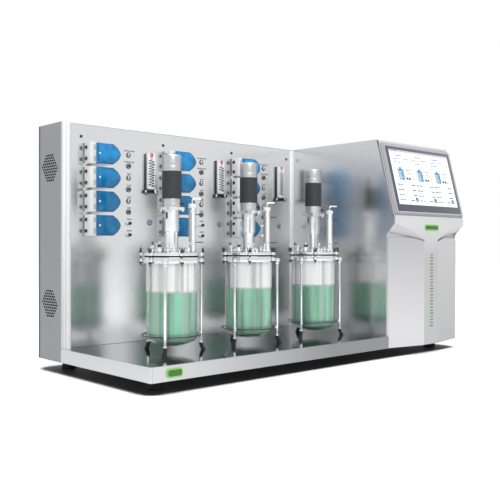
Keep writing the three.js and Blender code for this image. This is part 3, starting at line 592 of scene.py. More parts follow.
def cover_blue(colour):
    """Tinted pump cover: clear enough to show its rollers faintly."""
    recipe = Recipe(
        "cover_blue", colour, 0.16, IOR=1.25, Transmission_Weight=0.3, Coat_Weight=0.6,
        Coat_Roughness=0.08)
    # painted light: covers lighter towards the top of each bank and darker below
    height = recipe.axis(2)
    top = rotor_axis(1, 1).z
    rise = recipe.between(height, 0.35, 1, (top - 0.12, top + 0.02))
    cloud = recipe.between(recipe.noise(26, 2), 0.45, 1, (0.4, 0.6))
    level = recipe.math("MULTIPLY", rise, cloud)
    recipe.tint(level, 0.5, 1.5)
    recipe.wear(recipe.noise(60, 3), 0.05)
    recipe.bump(recipe.noise(240, 2), 0.02, 0.0001)


def clear_glass():
    """Clear glass, less clear in upright white runs above the medium."""
    recipe = Recipe("clear_glass", srgb(250, 251, 251), 0.015, IOR=1.42, Transmission_Weight=0.96)
    level = vessel_foot(1).z + 0.195
    height = recipe.axis(2)
    above_medium = recipe.between(height, 0, 1, (level - 0.004, level + 0.006))
    runs = recipe.between(recipe.noise(34, 2, (1, 1, 0.01)), 0.12, 0.86, (0.48, 0.68))
    clear = recipe.node("ShaderNodeMix", {0: above_medium, 2: 0.96, 3: runs})
    recipe.drive("Transmission Weight", clear.outputs[0])
    recipe.wear(recipe.noise(14, 3, (1, 1, 0.25)), 0.012)
    recipe.bump(recipe.noise(9, 1, (1, 1, 0.2)), 0.02, 0.0004)


def stirred_medium(colour):
    """Clear green broth with upright swirls, painted highlights, and painted shade at its foot."""
    recipe = Recipe("medium_green", colour, 0.03, IOR=1.1, Transmission_Weight=0.22)
    swirl = recipe.noise(30, 2, (1.3, 1.3, 0.03), 0.4)
    recipe.tint(recipe.between(swirl, 0, 1, (0.36, 0.56)), 0.56, 1.2)
    green = recipe.shader.inputs["Base Color"].links[0].from_socket
    # painted highlight: pale upright streaks in the colour
    painted_highlight = recipe.between(recipe.noise(38, 1, (1.1, 1.1, 0.015), 2.7), 0, 0.8, (0.54, 0.62))
    painted_highlight_streaks = recipe.mixed(painted_highlight, green, (*srgb(186, 228, 208), 1))
    height = recipe.axis(2)
    # painted shade: deeper green towards the dished foot
    foot = vessel_foot(1).z + 0.02
    painted_shade_foot = recipe.between(height, 0, 1, (foot + 0.012, foot + 0.05))
    recipe.drive("Base Color", recipe.mixed(painted_shade_foot, (*srgb(48, 124, 92), 1), painted_highlight_streaks))
    recipe.wear(recipe.noise(60, 2), 0.02)
    recipe.bump(swirl, 0.05, 0.001)


def lit_display():
    """The lit white ground of the display."""
    recipe = Recipe(
        "display_white", srgb(238, 243, 248), 0.14, Emission_Color=(*srgb(236, 242, 250), 1),
        Emission_Strength=0.35)
    recipe.tint(recipe.noise(3, 1), 0.97, 1.02)
    recipe.wear(recipe.noise(80, 2), 0.02)
    for name, colour in {
        "display_blue": (150, 196, 226), "display_deep": (92, 148, 196),
        "display_dark": (62, 66, 74),
        "display_text": (120, 123, 132), "display_pale": (206, 216, 226),
        "display_orange": (232, 152, 96)}.items():
        moulded(name, srgb(*colour), 0.3, 900, 0.01)


# ---------------- patterns that repeat
class Pattern(NodeTree):
    """A node tree that repeats one small piece, with named inputs for its sizes."""

    def __init__(self, name):
        self.tree = bpy.data.node_groups.new(name, "GeometryNodeTree")
        self.tree.interface.new_socket(
            "Geometry", in_out="OUTPUT", socket_type="NodeSocketGeometry")
        self.enter = self.node("NodeGroupInput")

    def input(self, name, kind, default=None):
        socket = self.tree.interface.new_socket(name, in_out="INPUT", socket_type=kind)
        if default is not None:
            socket.default_value = default
        return self.enter.outputs[name]

    def copies(self, points, piece, **more):
        """The piece on each point."""
        source = self.node("GeometryNodeObjectInfo", {"Object": piece}).outputs["Geometry"]
        return self.node(
            "GeometryNodeInstanceOnPoints",
            {"Points": points, "Instance": source, **more}).outputs[0]

    def finish(self, instances, finish):
        """Ends the tree: real geometry with its material."""
        real = self.node("GeometryNodeRealizeInstances", {0: instances})
        painted = self.node(
            "GeometryNodeSetMaterial", {"Geometry": real.outputs[0], "Material": finish})
        self.node("NodeGroupOutput", {0: painted.outputs[0]})
        return self.tree


def ring_pattern():
    """Copies of a piece round a circle, each turned to face out."""
    pattern = Pattern("Ring of pieces")
    piece = pattern.input("Piece", "NodeSocketObject")
    count = pattern.input("Count", "NodeSocketInt", 6)
    radius = pattern.input("Radius", "NodeSocketFloat", 0.1)
    turn = pattern.input("Turn", "NodeSocketFloat", 0.0)
    centre = pattern.input("Centre", "NodeSocketVector")
    finish = pattern.input("Finish", "NodeSocketMaterial")
    ring = pattern.node("GeometryNodeMeshCircle", {"Vertices": count, "Radius": radius})
    index = pattern.node("GeometryNodeInputIndex")
    step = pattern.math("DIVIDE", 2 * math.pi, count)
    angle = pattern.math("MULTIPLY", index.outputs[0], step)
    spin = pattern.node("ShaderNodeCombineXYZ", {"Z": angle})
    rotation = pattern.node("FunctionNodeEulerToRotation", {0: spin.outputs[0]})
    copies = pattern.copies(ring.outputs[0], piece, Rotation=rotation.outputs[0])
    whole = pattern.node("ShaderNodeCombineXYZ", {"Z": turn})
    placed = pattern.node(
        "GeometryNodeTransform",
        {"Geometry": copies, "Translation": centre, "Rotation": whole.outputs[0]})
    return pattern.finish(placed.outputs[0], finish)


def row_pattern():
    """Copies of a piece along a straight row."""
    pattern = Pattern("Row of pieces")
    piece = pattern.input("Piece", "NodeSocketObject")
    count = pattern.input("Count", "NodeSocketInt", 4)
    start = pattern.input("Start", "NodeSocketVector")
    step = pattern.input("Step", "NodeSocketVector")
    finish = pattern.input("Finish", "NodeSocketMaterial")
    row = pattern.node(
        "GeometryNodeMeshLine", {"Count": count, "Start Location": start, "Offset": step},
        mode="OFFSET")
    return pattern.finish(pattern.copies(row.outputs[0], piece), finish)


def vent_pattern():
    """Slots cut through a wall in a hexagonal patch, row by row."""
    pattern = Pattern("Vent slots")
    wall = pattern.input("Wall", "NodeSocketObject")
    piece = pattern.input("Slot", "NodeSocketObject")
    columns = pattern.input("Columns", "NodeSocketInt", 9)
    rows = pattern.input("Rows", "NodeSocketInt", 12)
    pitch = pattern.input("Pitch", "NodeSocketVector", (0.012, 0.01, 0))
    middle = pattern.input("Middle", "NodeSocketVector")
    turn = pattern.input("Turn", "NodeSocketVector")
    reach = pattern.input("Reach", "NodeSocketFloat", 0.056)
    finish = pattern.input("Finish", "NodeSocketMaterial")
    parts = pattern.node("ShaderNodeSeparateXYZ", {0: pitch})
    wide = pattern.math("MULTIPLY", pattern.math("SUBTRACT", columns, 1), parts.outputs[0])
    high = pattern.math("MULTIPLY", pattern.math("SUBTRACT", rows, 1), parts.outputs[1])
    grid = pattern.node(
        "GeometryNodeMeshGrid",
        {"Size X": wide, "Size Y": high, "Vertices X": columns, "Vertices Y": rows})
    row = pattern.math("MODULO", pattern.node("GeometryNodeInputIndex").outputs[0], rows)
    odd = pattern.math("MODULO", row, 2)
    stagger = pattern.math("MULTIPLY", pattern.math("SUBTRACT", odd, 0.5), parts.outputs[0])
    offset = pattern.node("ShaderNodeCombineXYZ", {"X": pattern.math("MULTIPLY", stagger, 0.5)})
    staggered = pattern.node(
        "GeometryNodeSetPosition", {"Geometry": grid.outputs[0], "Offset": offset.outputs[0]})
    place = pattern.node(
        "ShaderNodeSeparateXYZ", {0: pattern.node("GeometryNodeInputPosition").outputs[0]})
    side = pattern.math("ABSOLUTE", place.outputs[0])
    lean = 0.62             # slope of the hexagon's sides
    rise = pattern.math("MULTIPLY", pattern.math("ABSOLUTE", place.outputs[1]), lean)
    edge = pattern.math("ADD", side, rise)
    outside = pattern.node(
        "FunctionNodeCompare", {0: edge, 1: reach}, data_type="FLOAT", operation="GREATER_THAN")
    kept = pattern.node(
        "GeometryNodeDeleteGeometry",
        {"Geometry": staggered.outputs[0], "Selection": outside.outputs[0]}, domain="POINT")
    upright = pattern.node(
        "GeometryNodeTransform", {
            "Geometry": pattern.copies(kept.outputs[0], piece), "Translation": middle,
            "Rotation": turn})
    sheet = pattern.node("GeometryNodeObjectInfo", {"Object": wall})
    cutters = pattern.node("GeometryNodeRealizeInstances", {0: upright.outputs[0]})
    cut = pattern.node(
        "GeometryNodeMeshBoolean",
        {"Mesh 1": sheet.outputs["Geometry"], "Mesh 2": cutters.outputs[0]},
        operation="DIFFERENCE", solver="EXACT")
    return pattern.finish(cut.outputs[0], finish)


def run_pattern(tree, name, **sizes):
    """Runs a pattern and returns its result as a plain mesh; its samples are removed."""
    holder = linked(name, bpy.data.meshes.new(name))
    modifier = holder.modifiers.new("Pattern", "NODES")
    modifier.node_group = tree
    for item in tree.interface.items_tree:
        if item.item_type == "SOCKET" and item.in_out == "INPUT" and item.name in sizes:
            modifier[item.identifier] = sizes[item.name]
    mesh = applied(holder, name)
    for value in sizes.values():
        if isinstance(value, bpy.types.Object) and value.name in bpy.data.objects:
            bpy.data.objects.remove(value)
    if len(mesh.polygons) == 0:
        raise RuntimeError(f"the pattern {name} made nothing")
    return mesh


def scratch(name, solid):
    """A scratch object from a bmesh, which is freed."""
    mesh = bpy.data.meshes.new(name)
    solid.to_mesh(mesh)
    solid.free()
    return linked(name, mesh)


def sample(shape):
    """A small piece that a pattern repeats: in metres, and not part of the object."""
    bmesh.ops.scale(shape.body, vec=(MM, MM, MM), verts=shape.body.verts)
    return scratch("sample", shape.body)


def bored(solid, cutter):
    """A solid less a cutter. Both are freed, and the cut solid comes back."""
    body, tool = scratch("body", solid), scratch("tool", cutter)
    cut = body.modifiers.new("Bore", "BOOLEAN")
    cut.operation = "DIFFERENCE"
    cut.solver = "EXACT"
    cut.object = tool
    mesh = applied(body, "bored")
    bpy.data.objects.remove(tool)
    return solid_from(mesh)


def cut_slots(solid, slot, **sizes):
    """Cuts a patch of slots through a sheet and returns the cut sheet."""
    wall = scratch("wall", solid)
    return solid_from(
        run_pattern(PATTERN["vent"], "slotted", Wall=wall, Slot=sample(slot), **sizes))


# ---------------- CAD pieces, refined
def paint(node, finish):
    """Gives a carried-over CAD piece its finish."""
    piece = frame["nodes"][node]
    if not piece.material_slots:
        piece.data.materials.append(FINISH[finish])
    for slot in piece.material_slots:
        slot.material = FINISH[finish]


def merged_copy(node):
    """A CAD piece's mesh with its loose triangles joined into whole faces."""
    solid = bmesh.new()
    solid.from_mesh(frame["nodes"][node].data)
    bmesh.ops.remove_doubles(solid, verts=solid.verts, dist=2e-5)
    bmesh.ops.dissolve_limit(
        solid, angle_limit=math.radians(1), verts=solid.verts, edges=solid.edges)
    return solid


def eased(name, mesh, soft):
    """A mesh with its sharp edges rounded, and its large faces kept flat in shading."""
    holder = linked(name, mesh)
    shade_smooth(mesh)
    if soft:
        bevel = holder.modifiers.new("Eased edges", "BEVEL")
        bevel.width = soft * MM
        bevel.segments = 2
        bevel.limit_method = "ANGLE"
        bevel.angle_limit = SHARP
        bevel.use_clamp_overlap = True
    flat = holder.modifiers.new("Flat faces", "WEIGHTED_NORMAL")
    flat.keep_sharp = True
    return applied(holder, name)


def refined(node, soft, choose, solid=None):
    """Stands for a CAD node: eased edges, and a finish chosen face by face."""
    solid = solid or merged_copy(node)
    name = f"{node}_finished"
    raw = bpy.data.meshes.new(name)
    solid.to_mesh(raw)
    solid.free()
    mesh = eased(name, raw, soft)
    mesh.materials.clear()
    finishes = []
    for face in mesh.polygons:
        finish = choose(face.center, face.normal)
        if finish not in finishes:
            finishes.append(finish)
            mesh.materials.append(FINISH[finish])
        face.material_index = finishes.index(finish)
    piece = linked(name, mesh)
    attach(piece, STAND)
    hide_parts(node)


# ---------------- settings
def colour_setting(name, description, default):
    return FloatVectorProperty(
        name=name, description=description, subtype="COLOR", size=3, min=0, max=1, default=default)


def length_setting(name, description, default):
    return FloatProperty(
        name=name, description=description, subtype="DISTANCE", unit="LENGTH", min=0, max=1,
        default=default)


class BioreactorLook(bpy.types.PropertyGroup):
    """Colours of the painted, tinted and bare pieces."""

    tray_steel: colour_setting("Tray steel", "Mirror top of the tray", srgb(204, 206, 208))
    skirt_steel: colour_setting("Skirt steel", "Brushed sides of the tray", srgb(176, 177, 178))
    panel_steel: colour_setting("Panel steel", "Instrument panel", srgb(220, 221, 222))
    wall_steel: colour_setting(
        "Wall steel", "Polished wall beside the console", srgb(222, 223, 224))
    # the cabinet's grey is in part painted shade on its sides
    cabinet_paint_and_shade: colour_setting(
        "Cabinet paint", "Sides of the rear cabinet", srgb(163, 164, 166))
    console_paint: colour_setting("Console paint", "Operator console", srgb(212, 212, 214))
    trim_paint: colour_setting("Trim paint", "Front posts and corner angle", srgb(244, 244, 245))
    shut_line: colour_setting("Shut line", "Grooves and open joints", srgb(120, 121, 124))
    # the frame's own grey, on its sides; its outward faces take a lighter grey as painted light
    frame_paint: colour_setting("Frame paint", "Frame of the touch screen", srgb(152, 151, 156))
    cover_blue: colour_setting("Cover blue", "Pump covers", srgb(20, 146, 208))
    medium_green: colour_setting("Medium green", "Culture medium", srgb(146, 230, 192))


class BioreactorCabinet(bpy.types.PropertyGroup):
    """Sizes of the cabinet's vents, trims and screws."""

    vent_rows: IntProperty(
        name="Vent rows", description="Rows of slots in each side vent", min=3, max=30, default=10)
    vent_columns: IntProperty(
        name="Vent columns", description="Slots in a vent's longest row", min=3, max=20, default=9)
    vent_pitch: length_setting("Vent pitch", "From one row of slots to the next", 0.0094)
    vent_step: length_setting("Vent step", "From one slot to the next in a row", 0.0132)
    vent_reach: length_setting("Vent reach", "Half the width of a vent patch", 0.0555)
    upper_vent: length_setting("Upper vent", "Height of the upper vent's middle", 0.6875)
    lower_vent: length_setting("Lower vent", "Height of the lower vent's middle", 0.2285)
    corner_leg: length_setting("Corner angle", "Leg of the angle in the rear corner", 0.0115)
    screw_drop: length_setting("Screw drop", "Panel screws below the cabinet's top", 0.0415)


class BioreactorPumps(bpy.types.PropertyGroup):
    """Sizes of the pump heads."""

    cover_depth: length_setting("Cover depth", "Pump cover in front of the panel", 0.048)
    cover_wall: length_setting("Cover wall", "Wall of a pump cover", 0.004)
    block_depth: length_setting("Block depth", "Tube block in front of the panel", 0.040)
    roller_radius: length_setting("Roller radius", "Rollers of a pump rotor", 0.006)


class BioreactorVessels(bpy.types.PropertyGroup):
    """Sizes of the vessels' fittings."""

    bolt_count: IntProperty(
        name="Clamp bolts", description="Bolts round a head plate", min=3, max=12, default=6)
    bolt_circle: length_setting("Bolt circle", "Radius of the clamp bolts' circle", 0.1025)
    rib_count: IntProperty(
        name="Motor ribs", description="Ribs round a motor's body", min=8, max=90, default=36)
    condenser_turn: FloatProperty(
        name="Condenser turn", description="Direction of the condenser from the vessel's axis",
        subtype="ANGLE", unit="ROTATION", default=math.radians(-25))
    condenser_circle: length_setting("Condenser circle", "Condenser from the vessel's axis", 0.068)


class BioreactorConsole(bpy.types.PropertyGroup):
    """Sizes of the console's screen and marks."""

    display_width: length_setting("Display width", "Lit part of the touch screen", 0.401)
    display_height: length_setting("Display height", "Lit part of the touch screen", 0.2223)
    display_chin: length_setting("Display chin", "Bezel below the display", 0.0273)
    badge_width: length_setting("Badge width", "Plain green plate on the console", 0.094)
    badge_height: length_setting("Badge height", "Plain green plate on the console", 0.023)


class BioreactorStage(bpy.types.PropertyGroup):
    """Camera, floor and light."""

    focal: FloatProperty(
        name="Focal length", description="Camera lens in millimetres", min=20, max=120,
        default=53.747)
    eye: FloatVectorProperty(
        name="Camera place", description="Where the camera stands",
        subtype="TRANSLATION", unit="LENGTH", default=(-1.9945, -2.0481, 0.4269))
    aim: FloatProperty(
        name="Camera bearing", description="Camera's bearing from +Y towards +X",
        subtype="ANGLE", unit="ROTATION", default=math.radians(42.583))
    tip: FloatProperty(
        name="Camera tip",
        description="Camera's tip above level", subtype="ANGLE", unit="ROTATION",
        default=math.radians(-0.36))
    floor_colour: colour_setting("Floor", "Plain pale floor", srgb(250, 250, 250))
    shadow_reach: length_setting(
        "Shadow reach", "How near a piece must be to darken the floor", 0.07)
    sky: FloatProperty(
        name="Room light", description="Even light from all round", min=0, max=3, default=0.5)
    key: FloatProperty(
        name="Main light", description="Power of the large front light", min=0, max=900,
        default=62)


# ---------------- cabinet
FRONT = Matrix.Rotation(math.pi / 2, 4, "X")      # a plate's face towards the front
LEFT = Euler((math.pi / 2, 0, -math.pi / 2)).to_matrix().to_4x4()    # or to the left
REAR = Matrix.Rotation(math.pi, 4, "Z") @ FRONT


def stadium(width, height, steps=5):
    """A long slot's outline, round at both ends."""
    radius = min(width, height) / 2
    along = width / 2 - radius
    right = [
        (along + radius * math.sin(math.pi * i / steps), -radius * math.cos(math.pi * i / steps))
        for i in range(steps + 1)]
    return right + [(-x, -y) for x, y in right]


def rounded_plate(width, height, radius, steps=4):
    """A rectangle's outline with round corners, about its middle."""
    x, y = width / 2, height / 2
    return fillet([(-x, -y), (x, -y), (x, y), (-x, y)], radius, True, steps)


class BIOREACTOR_OT_cabinet(bpy.types.Operator):
    """Tray, cabinet, panel and walls with their finishes, vents and trims"""

    bl_idname = "bioreactor.cabinet"
    bl_label = "Cabinet"

    def execute(self, context):
        cabinet = context.scene.bioreactor_cabinet
        self.tray()
        self.rear_cabinet(cabinet)
        self.rear_cover()
        refined("side_cabinet", 0.8, lambda centre, normal: "console_white")
        paint("instrument_panel", "panel_brushed")
        paint("mirror_wall", "wall_brushed")
        paint("base_pan", "skirt_brushed")
        self.corner_angle(cabinet)
        self.panel_screws(cabinet)
        return {"FINISHED"}

    def tray(self):
        """Mirror top, brushed skirts, and the shut line beside the round front corner."""

        def choose(centre, normal):
            return "tray_mirror" if normal.z > SQUARE_ON else "skirt_brushed"

        refined("base_tray", 0.9, choose)
        low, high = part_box("base_tray")
        seam = Shape()
        seam.block((0, 0, 1), (0.7, 0.35, (high.z - low.z) / MM - 1), "joint_shadow", 0.1)
        seam.done("tray_seam", (low.x + 0.0055, low.y - 0.00015, low.z), slot="tray_steel")

    def rear_cabinet(self, cabinet):
        """Grey sides with two slotted vents; the front post is white with one groove."""
        low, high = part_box("rear_cabinet")
        sheet = merged_copy("rear_cabinet")
        for place, across in (
            ((low.x + POST_WIDTH, 0, 0), (1, 0, 0)), ((0, high.y - REAR_SEAM, 0), (0, 1, 0))):
            bmesh.ops.bisect_plane(
                sheet, geom=[*sheet.verts, *sheet.edges, *sheet.faces], plane_co=place,
                plane_no=across)
        for height in (cabinet.upper_vent, cabinet.lower_vent):
            slot = Shape()
            slot.plate(stadium(11.6, 6.6), SLOT_CUT, "joint_shadow", 0, shift(0, 0, -SLOT_CUT / 2))
            sheet = cut_slots(
                sheet, slot, Columns=cabinet.vent_columns, Rows=cabinet.vent_rows,
                Pitch=(cabinet.vent_step, cabinet.vent_pitch, 0),
                Middle=(low.x + 0.001, (low.y + high.y) / 2, height),
                Turn=tuple(LEFT.to_euler()), Reach=cabinet.vent_reach,
                Finish=FINISH["cabinet_grey"])

        def choose(centre, normal):
            on_side = normal.x < -SQUARE_ON and centre.x < low.x + 0.0005
            if on_side and centre.y > high.y - REAR_SEAM:
                return "seam_dark"
            if centre.x > low.x + 0.038 and normal.y > -SQUARE_ON or centre.y > low.y + 0.0018:
                return "cabinet_grey"
            start, end = POST_GROOVE
            in_groove = low.x + start < centre.x < low.x + end and centre.y > low.y + 0.0002
            return "joint_shadow" if in_groove else "trim_white"

        refined("rear_cabinet", 0, choose, solid=sheet)
        # painted shade: a black sheet behind each vent stands in for the dark inside of the
        # cabinet
        shade_sheets = Shape()
        for height in (cabinet.upper_vent, cabinet.lower_vent):
            level = shift(0, height / MM, 0)
            shade_sheets.plate(rounded_plate(126, 104, 3), 1.6, "vent_shade_black", 0.3, level)
        shade_sheets.done(
            "vent_filters", (low.x + 0.0068, (low.y + high.y) / 2, 0), slot="black_rubber",
            turn=LEFT)

    def rear_cover(self):
        """Back cover with four patches of slots."""
        low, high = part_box("rear_cover")
        sheet = merged_copy("rear_cover")
        for share in REAR_VENTS:
            x = low.x + share * (high.x - low.x)
            slot = Shape()
            slot.plate(stadium(30, 4.5), SLOT_CUT, "joint_shadow", 0, shift(0, 0, -SLOT_CUT / 2))
            sheet = cut_slots(
                sheet, slot, Columns=3, Rows=9, Pitch=(0.038, 0.012, 0),
                Middle=(x, (low.y + high.y) / 2, high.z - REAR_VENT_DROP),
                Turn=tuple(FRONT.to_euler()), Reach=0.3, Finish=FINISH["cabinet_grey"])
        refined("rear_cover", 0, lambda centre, normal: "cabinet_grey", solid=sheet)

    def corner_angle(self, cabinet):
        """White angle moulding where the panel meets the side wall."""
        low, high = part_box("instrument_panel")
        tray_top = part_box("base_tray")[1].z
        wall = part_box("mirror_wall")[0]
        leg = cabinet.corner_leg / MM
        height = (high.z - tray_top) / MM - 0.5
        profile = [
            (0, 0), (-leg, 0), (-leg, -1.4), (-4.6, -2.2), (-2.2, -4.6), (-1.4, -leg), (0, -leg)]
        angle = Shape()
        angle.plate(fillet(profile, 0.5, True), height, "trim_white", 0.2)
        angle.plate(
            [(-3.5, -3.1), (-3.1, -3.5), (-3.7, -3.9), (-3.9, -3.7)], height - 1, "joint_shadow",
            0)
        angle.done(
            "corner_angle", (wall.x - 0.0002, low.y - PROUD, tray_top + 0.0004),
            slot="white_paint")
        joint = Shape()
        joint.block((0, -1.5, 0), ((wall.x - low.x) / MM - 12, 0, 0.5), "seam_dark", 0.1)
        joint.done("panel_joint", (low.x, low.y - 0.0002, tray_top + 0.0001), slot="black_rubber")

    def panel_screws(self, cabinet):
        """Button screws along the panel's top, and one round cover bolt in each bay."""
        low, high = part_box("instrument_panel")
        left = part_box("rear_cabinet")[0].x
        top = high.z - cabinet.screw_drop + 0.002
        for number, x in enumerate(SCREW_COLUMNS, 1):
            screw = Shape()
            profile = [(5.4, 0), (5.4, 0.8), (4.3, 2), (2.7, 2.4), (2.7, 1.2)]
            screw.turned(profile, "dark_steel", 24)
            screw.done(
                f"panel_screw_{number}", (left + x, low.y - 0.0003, top), slot="vessel_steel",
                turn=FRONT)
        for bay in BAYS:
            place = (bay_left(bay) + COVER_BOLT[0], low.y - PROUD, low.z + COVER_BOLT[1])
            bolt = Shape()
            bolt.turned([(10.8, 0), (10.8, 1), (9.2, 2.6), (7.4, 3), (7.4, 2.2)], "bolt_blue", 36)
            bolt.turned([(6, 2), (5.4, 3.4)], "motor_silver", 28, soft=0.3)
            bolt.plate(circle(2.8, 6), 0.3, "dark_steel", 0, shift(0, 0, 3.3))
            bolt.done(f"cover_bolt_{bay}", place, slot="vessel_steel", turn=FRONT)


# ---------------- console and screen
def screen_place():
    """The screen's turn (X across, Y up its slope, Z out of its face), centre and size."""
    mesh = frame["nodes"]["touch_screen"].data
    largest = max(mesh.polygons, key=lambda face: face.area if face.normal.y < -0.5 else 0)
    out = largest.normal.normalized()
    up = out.cross(Vector((1, 0, 0))).normalized()
    if up.z < 0:
        up.negate()
    across = up.cross(out).normalized()
    corners = [mesh.vertices[i].co for face in mesh.polygons for i in face.vertices]
    on_face = [p for p in corners if abs((p - largest.center).dot(out)) < 1e-5]
    spans = []
    for direction in (across, up):
        places = [p.dot(direction) for p in on_face]
        spans.append((min(places), max(places)))
    (left, right), (low, high) = spans
    turn = Matrix((across, up, out)).transposed()
    centre = turn @ Vector(((left + right) / 2, (low + high) / 2, largest.center.dot(out)))
    return turn.to_4x4(), centre, right - left, high - low


class BIOREACTOR_OT_console(bpy.types.Operator):
    """Side console: column, one-piece front, plain green plate and marks"""

    bl_idname = "bioreactor.console"
    bl_label = "Console"

    def execute(self, context):
        console = context.scene.bioreactor_console
        refined("console_column", 0.6, self.facet)
        # the front's darker strip and lighter head are painted shade and light
        refined("console_fascia", 1.2, lambda centre, normal: "painted_shade_console_front")
        low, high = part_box("console_fascia")
        x = (low.x + high.x) / 2
        self.liner(Vector((x, low.y, high.z)))
        self.badge(
            "console_badge", console.badge_width, console.badge_height,
            (x + 0.001, low.y - PROUD, high.z - 0.044))
        self.marks((x + 0.003, low.y - PROUD, low.z + 0.07))
        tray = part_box("base_tray")[0]
        place = (tray.x + TRAY_BADGE[0], tray.y - PROUD, tray.z + TRAY_BADGE[1])
        self.badge("tray_badge", 0.058, 0.027, place)
        return {"FINISHED"}

    def facet(self, centre, normal):
        """The two sloping facets, each with its own painted fall of light and shade."""
        return "painted_shade_facet_left" if normal.x < 0 else "painted_shade_facet_right"

    def liner(self, top):
        """Inner liner that closes the open joint under the console's head."""
        plan = [(-229, 61), (-229, 46), (-43.5, 14), (43.5, 14), (229, 46), (229, 61)]
        liner = Shape()
        liner.plate(plan, 98, "console_white", 0)
        liner.done("console_liner", (top.x, top.y, GROUND + LINER_FOOT), slot="white_paint")

    def badge(self, name, width, height, place):
        """A raised plate with round ends, left bare."""
        width, height = width / MM, height / MM
        plate = Shape()
        plate.plate(rounded_plate(width, height, height * 0.45, 6), 2.4, "badge_rim", 0.8)
        inner = rounded_plate(width - 9, height - 9, height * 0.28, 6)
        plate.plate(inner, 1, "badge_green", 0.4, shift(0, 0, 2.1))
        plate.done(name, place, slot="white_plastic", turn=FRONT)

    def marks(self, place):
        """A column of short plain bars up the strip."""
        marks = Shape()
        for i in range(24):
            width = (27, 18, 22, 18)[i % 4]
            level = shift(0, 12.3 * i + 2.5, 0)
            marks.plate(rounded_plate(width, 5.4, 1.8), 0.35, "accent_green", 0, level)
        marks.done("strip_marks", place, slot="white_plastic", turn=FRONT)


class BIOREACTOR_OT_screen(bpy.types.Operator):
    """Touch screen in its frame, with a generic picture of the three vessels"""

    bl_idname = "bioreactor.screen"
    bl_label = "Touch screen"

    def execute(self, context):
        console = context.scene.bioreactor_console
        self.turn, self.centre, width, height = screen_place()
        refined("screen_frame", 0.7, self.frame_finish)
        brow = Shape()
        brow.block((-235.5, 139, -13.2), (232, 158.4, -11.4), "console_white", 0.2)
        brow.block((-235.5, -150, -13.2), (-228, 140, -11.4), "console_white", 0.2)
        brow.done("screen_brow", self.centre, slot="white_paint", turn=self.turn)
        self.glass(width / MM, height / MM)
        self.picture(console, height)
        return {"FINISHED"}

    def frame_finish(self, centre, normal):
        """Painted light where the frame faces out of the screen, its plain grey on its sides."""
        out = self.turn.col[2].to_3d()
        return "painted_light_frame_face" if normal.dot(out) > 0.97 else "frame_side_grey"

    def glass(self, width, height):
        """The screen's slate glass, with a thin border that laps over the frame."""
        depth = 8.0
        slab = Shape()
        slab.plate(rounded_plate(width, height, 3), depth, "bezel_slate", 0.8, shift(0, 0, -depth))
        border = shift(-3.5, 1, -0.1)
        slab.plate(rounded_plate(width + 9, height + 4, 4), 1.1, "bezel_slate", 0.2, border)
        slab.done(
            "touch_screen_glass", self.centre, slot="screen_glass", turn=self.turn,
            replaced=("touch_screen",))

    def picture(self, console, height):
        """Thin coloured fields that lie on the glass."""
        wide, high = console.display_width / MM, console.display_height / MM
        base = console.display_chin / MM - height / MM / 2
        side = -wide / 2 - 2.7
        shape = Shape()
        level = shift(side, base, PICTURE_LEVEL)
        shape.plate([(0, 0), (wide, 0), (wide, high), (0, high)], 0.12, "display_white", 0, level)

        def field(u, v, width, tall, finish, lift=0.12, radius=0.0):
            """A field whose left upper corner is at shares (u, v) of the display."""
            x, y = u * wide, (1 - v) * high
            outline = [(x, y - tall), (x + width, y - tall), (x + width, y), (x, y)]
            if radius:
                outline = fillet(outline, radius, True, 4)
            place = shift(side, base, lift + PICTURE_LEVEL)
            shape.plate(outline, 0.06, finish, 0, place)

        def words(u, v, count, size, finish="display_text"):
            """A run of short dashes where a line of small text would stand."""
            x = 0.0
            for i in range(count):
                run = size * (2.2 + 1.3 * ((i * 7 + count * 3) % 4))
                field(u + x / wide, v, run, size, finish)
                x += run + size * 0.8

        field(0, 0, wide, 8, "display_pale")
        words(0.02, 0.01, 3, 3)
        for left in (0.03, 0.345, 0.655):
            for u, v, width, tall in (
                (-0.01, 0.075, 112, 0.8), (-0.01, 0.27, 112, 0.8), (-0.01, 0.075, 0.8, 44)):
                field(left + u, v, width, tall, "display_pale")
            words(left + 0.07, 0.095, 2, 3.6, "display_dark")
            words(left + 0.01, 0.16, 2, 3.4)
            words(left + 0.17, 0.15, 2, 3.4)
            words(left + 0.02, 0.22, 3, 3.2)
            self.pictogram(field, left + 0.04, 0.32)
            words(left + 0.19, 0.36, 2, 3.6)
            words(left + 0.2, 0.42, 2, 3.4)
            field(left + 0.165, 0.5, 13, 9, "display_dark")
            field(left + 0.205, 0.5, 13, 9, "display_dark")
            field(left + 0.25, 0.525, 7, 4, "display_text")
            for row, v in enumerate((0.63, 0.725, 0.82, 0.91)):
                words(left, v, 2, 4, "display_dark" if row < 2 else "display_text")
                words(left + (0.17 if row == 3 else 0.23), v, 1, 4, "display_dark")
            field(left + 0.25, 0.86, 18, 18, "bezel_slate", radius=8.1)
            field(left + 0.268, 0.895, 4, 5, "display_white", lift=0.18)
        for u, v in ((0.955, 0.2), (0.955, 0.27), (0.3, 0.2), (0.615, 0.2), (0.93, 0.66)):
            field(u, v, 7, 5, "display_orange", radius=1.5)
        shape.done("screen_picture", self.centre, slot="screen_glass", turn=self.turn, crease=20)

    def pictogram(self, field, u, v):
        """A small drawing of a stirred vessel."""
        field(u + 0.04, v, 14, 9, "display_deep", radius=2)
        field(u + 0.005, v + 0.035, 42, 6, "display_deep", radius=1.5)
        field(u + 0.012, v + 0.06, 37, 40, "display_blue", radius=8)
        field(u + 0.07, v + 0.075, 12, 34, "display_deep", lift=0.18, radius=4)
        field(u + 0.03, v + 0.08, 5, 26, "display_pale", lift=0.18, radius=2)
        field(u + 0.045, v + 0.17, 14, 6, "display_pale", lift=0.2, radius=2)


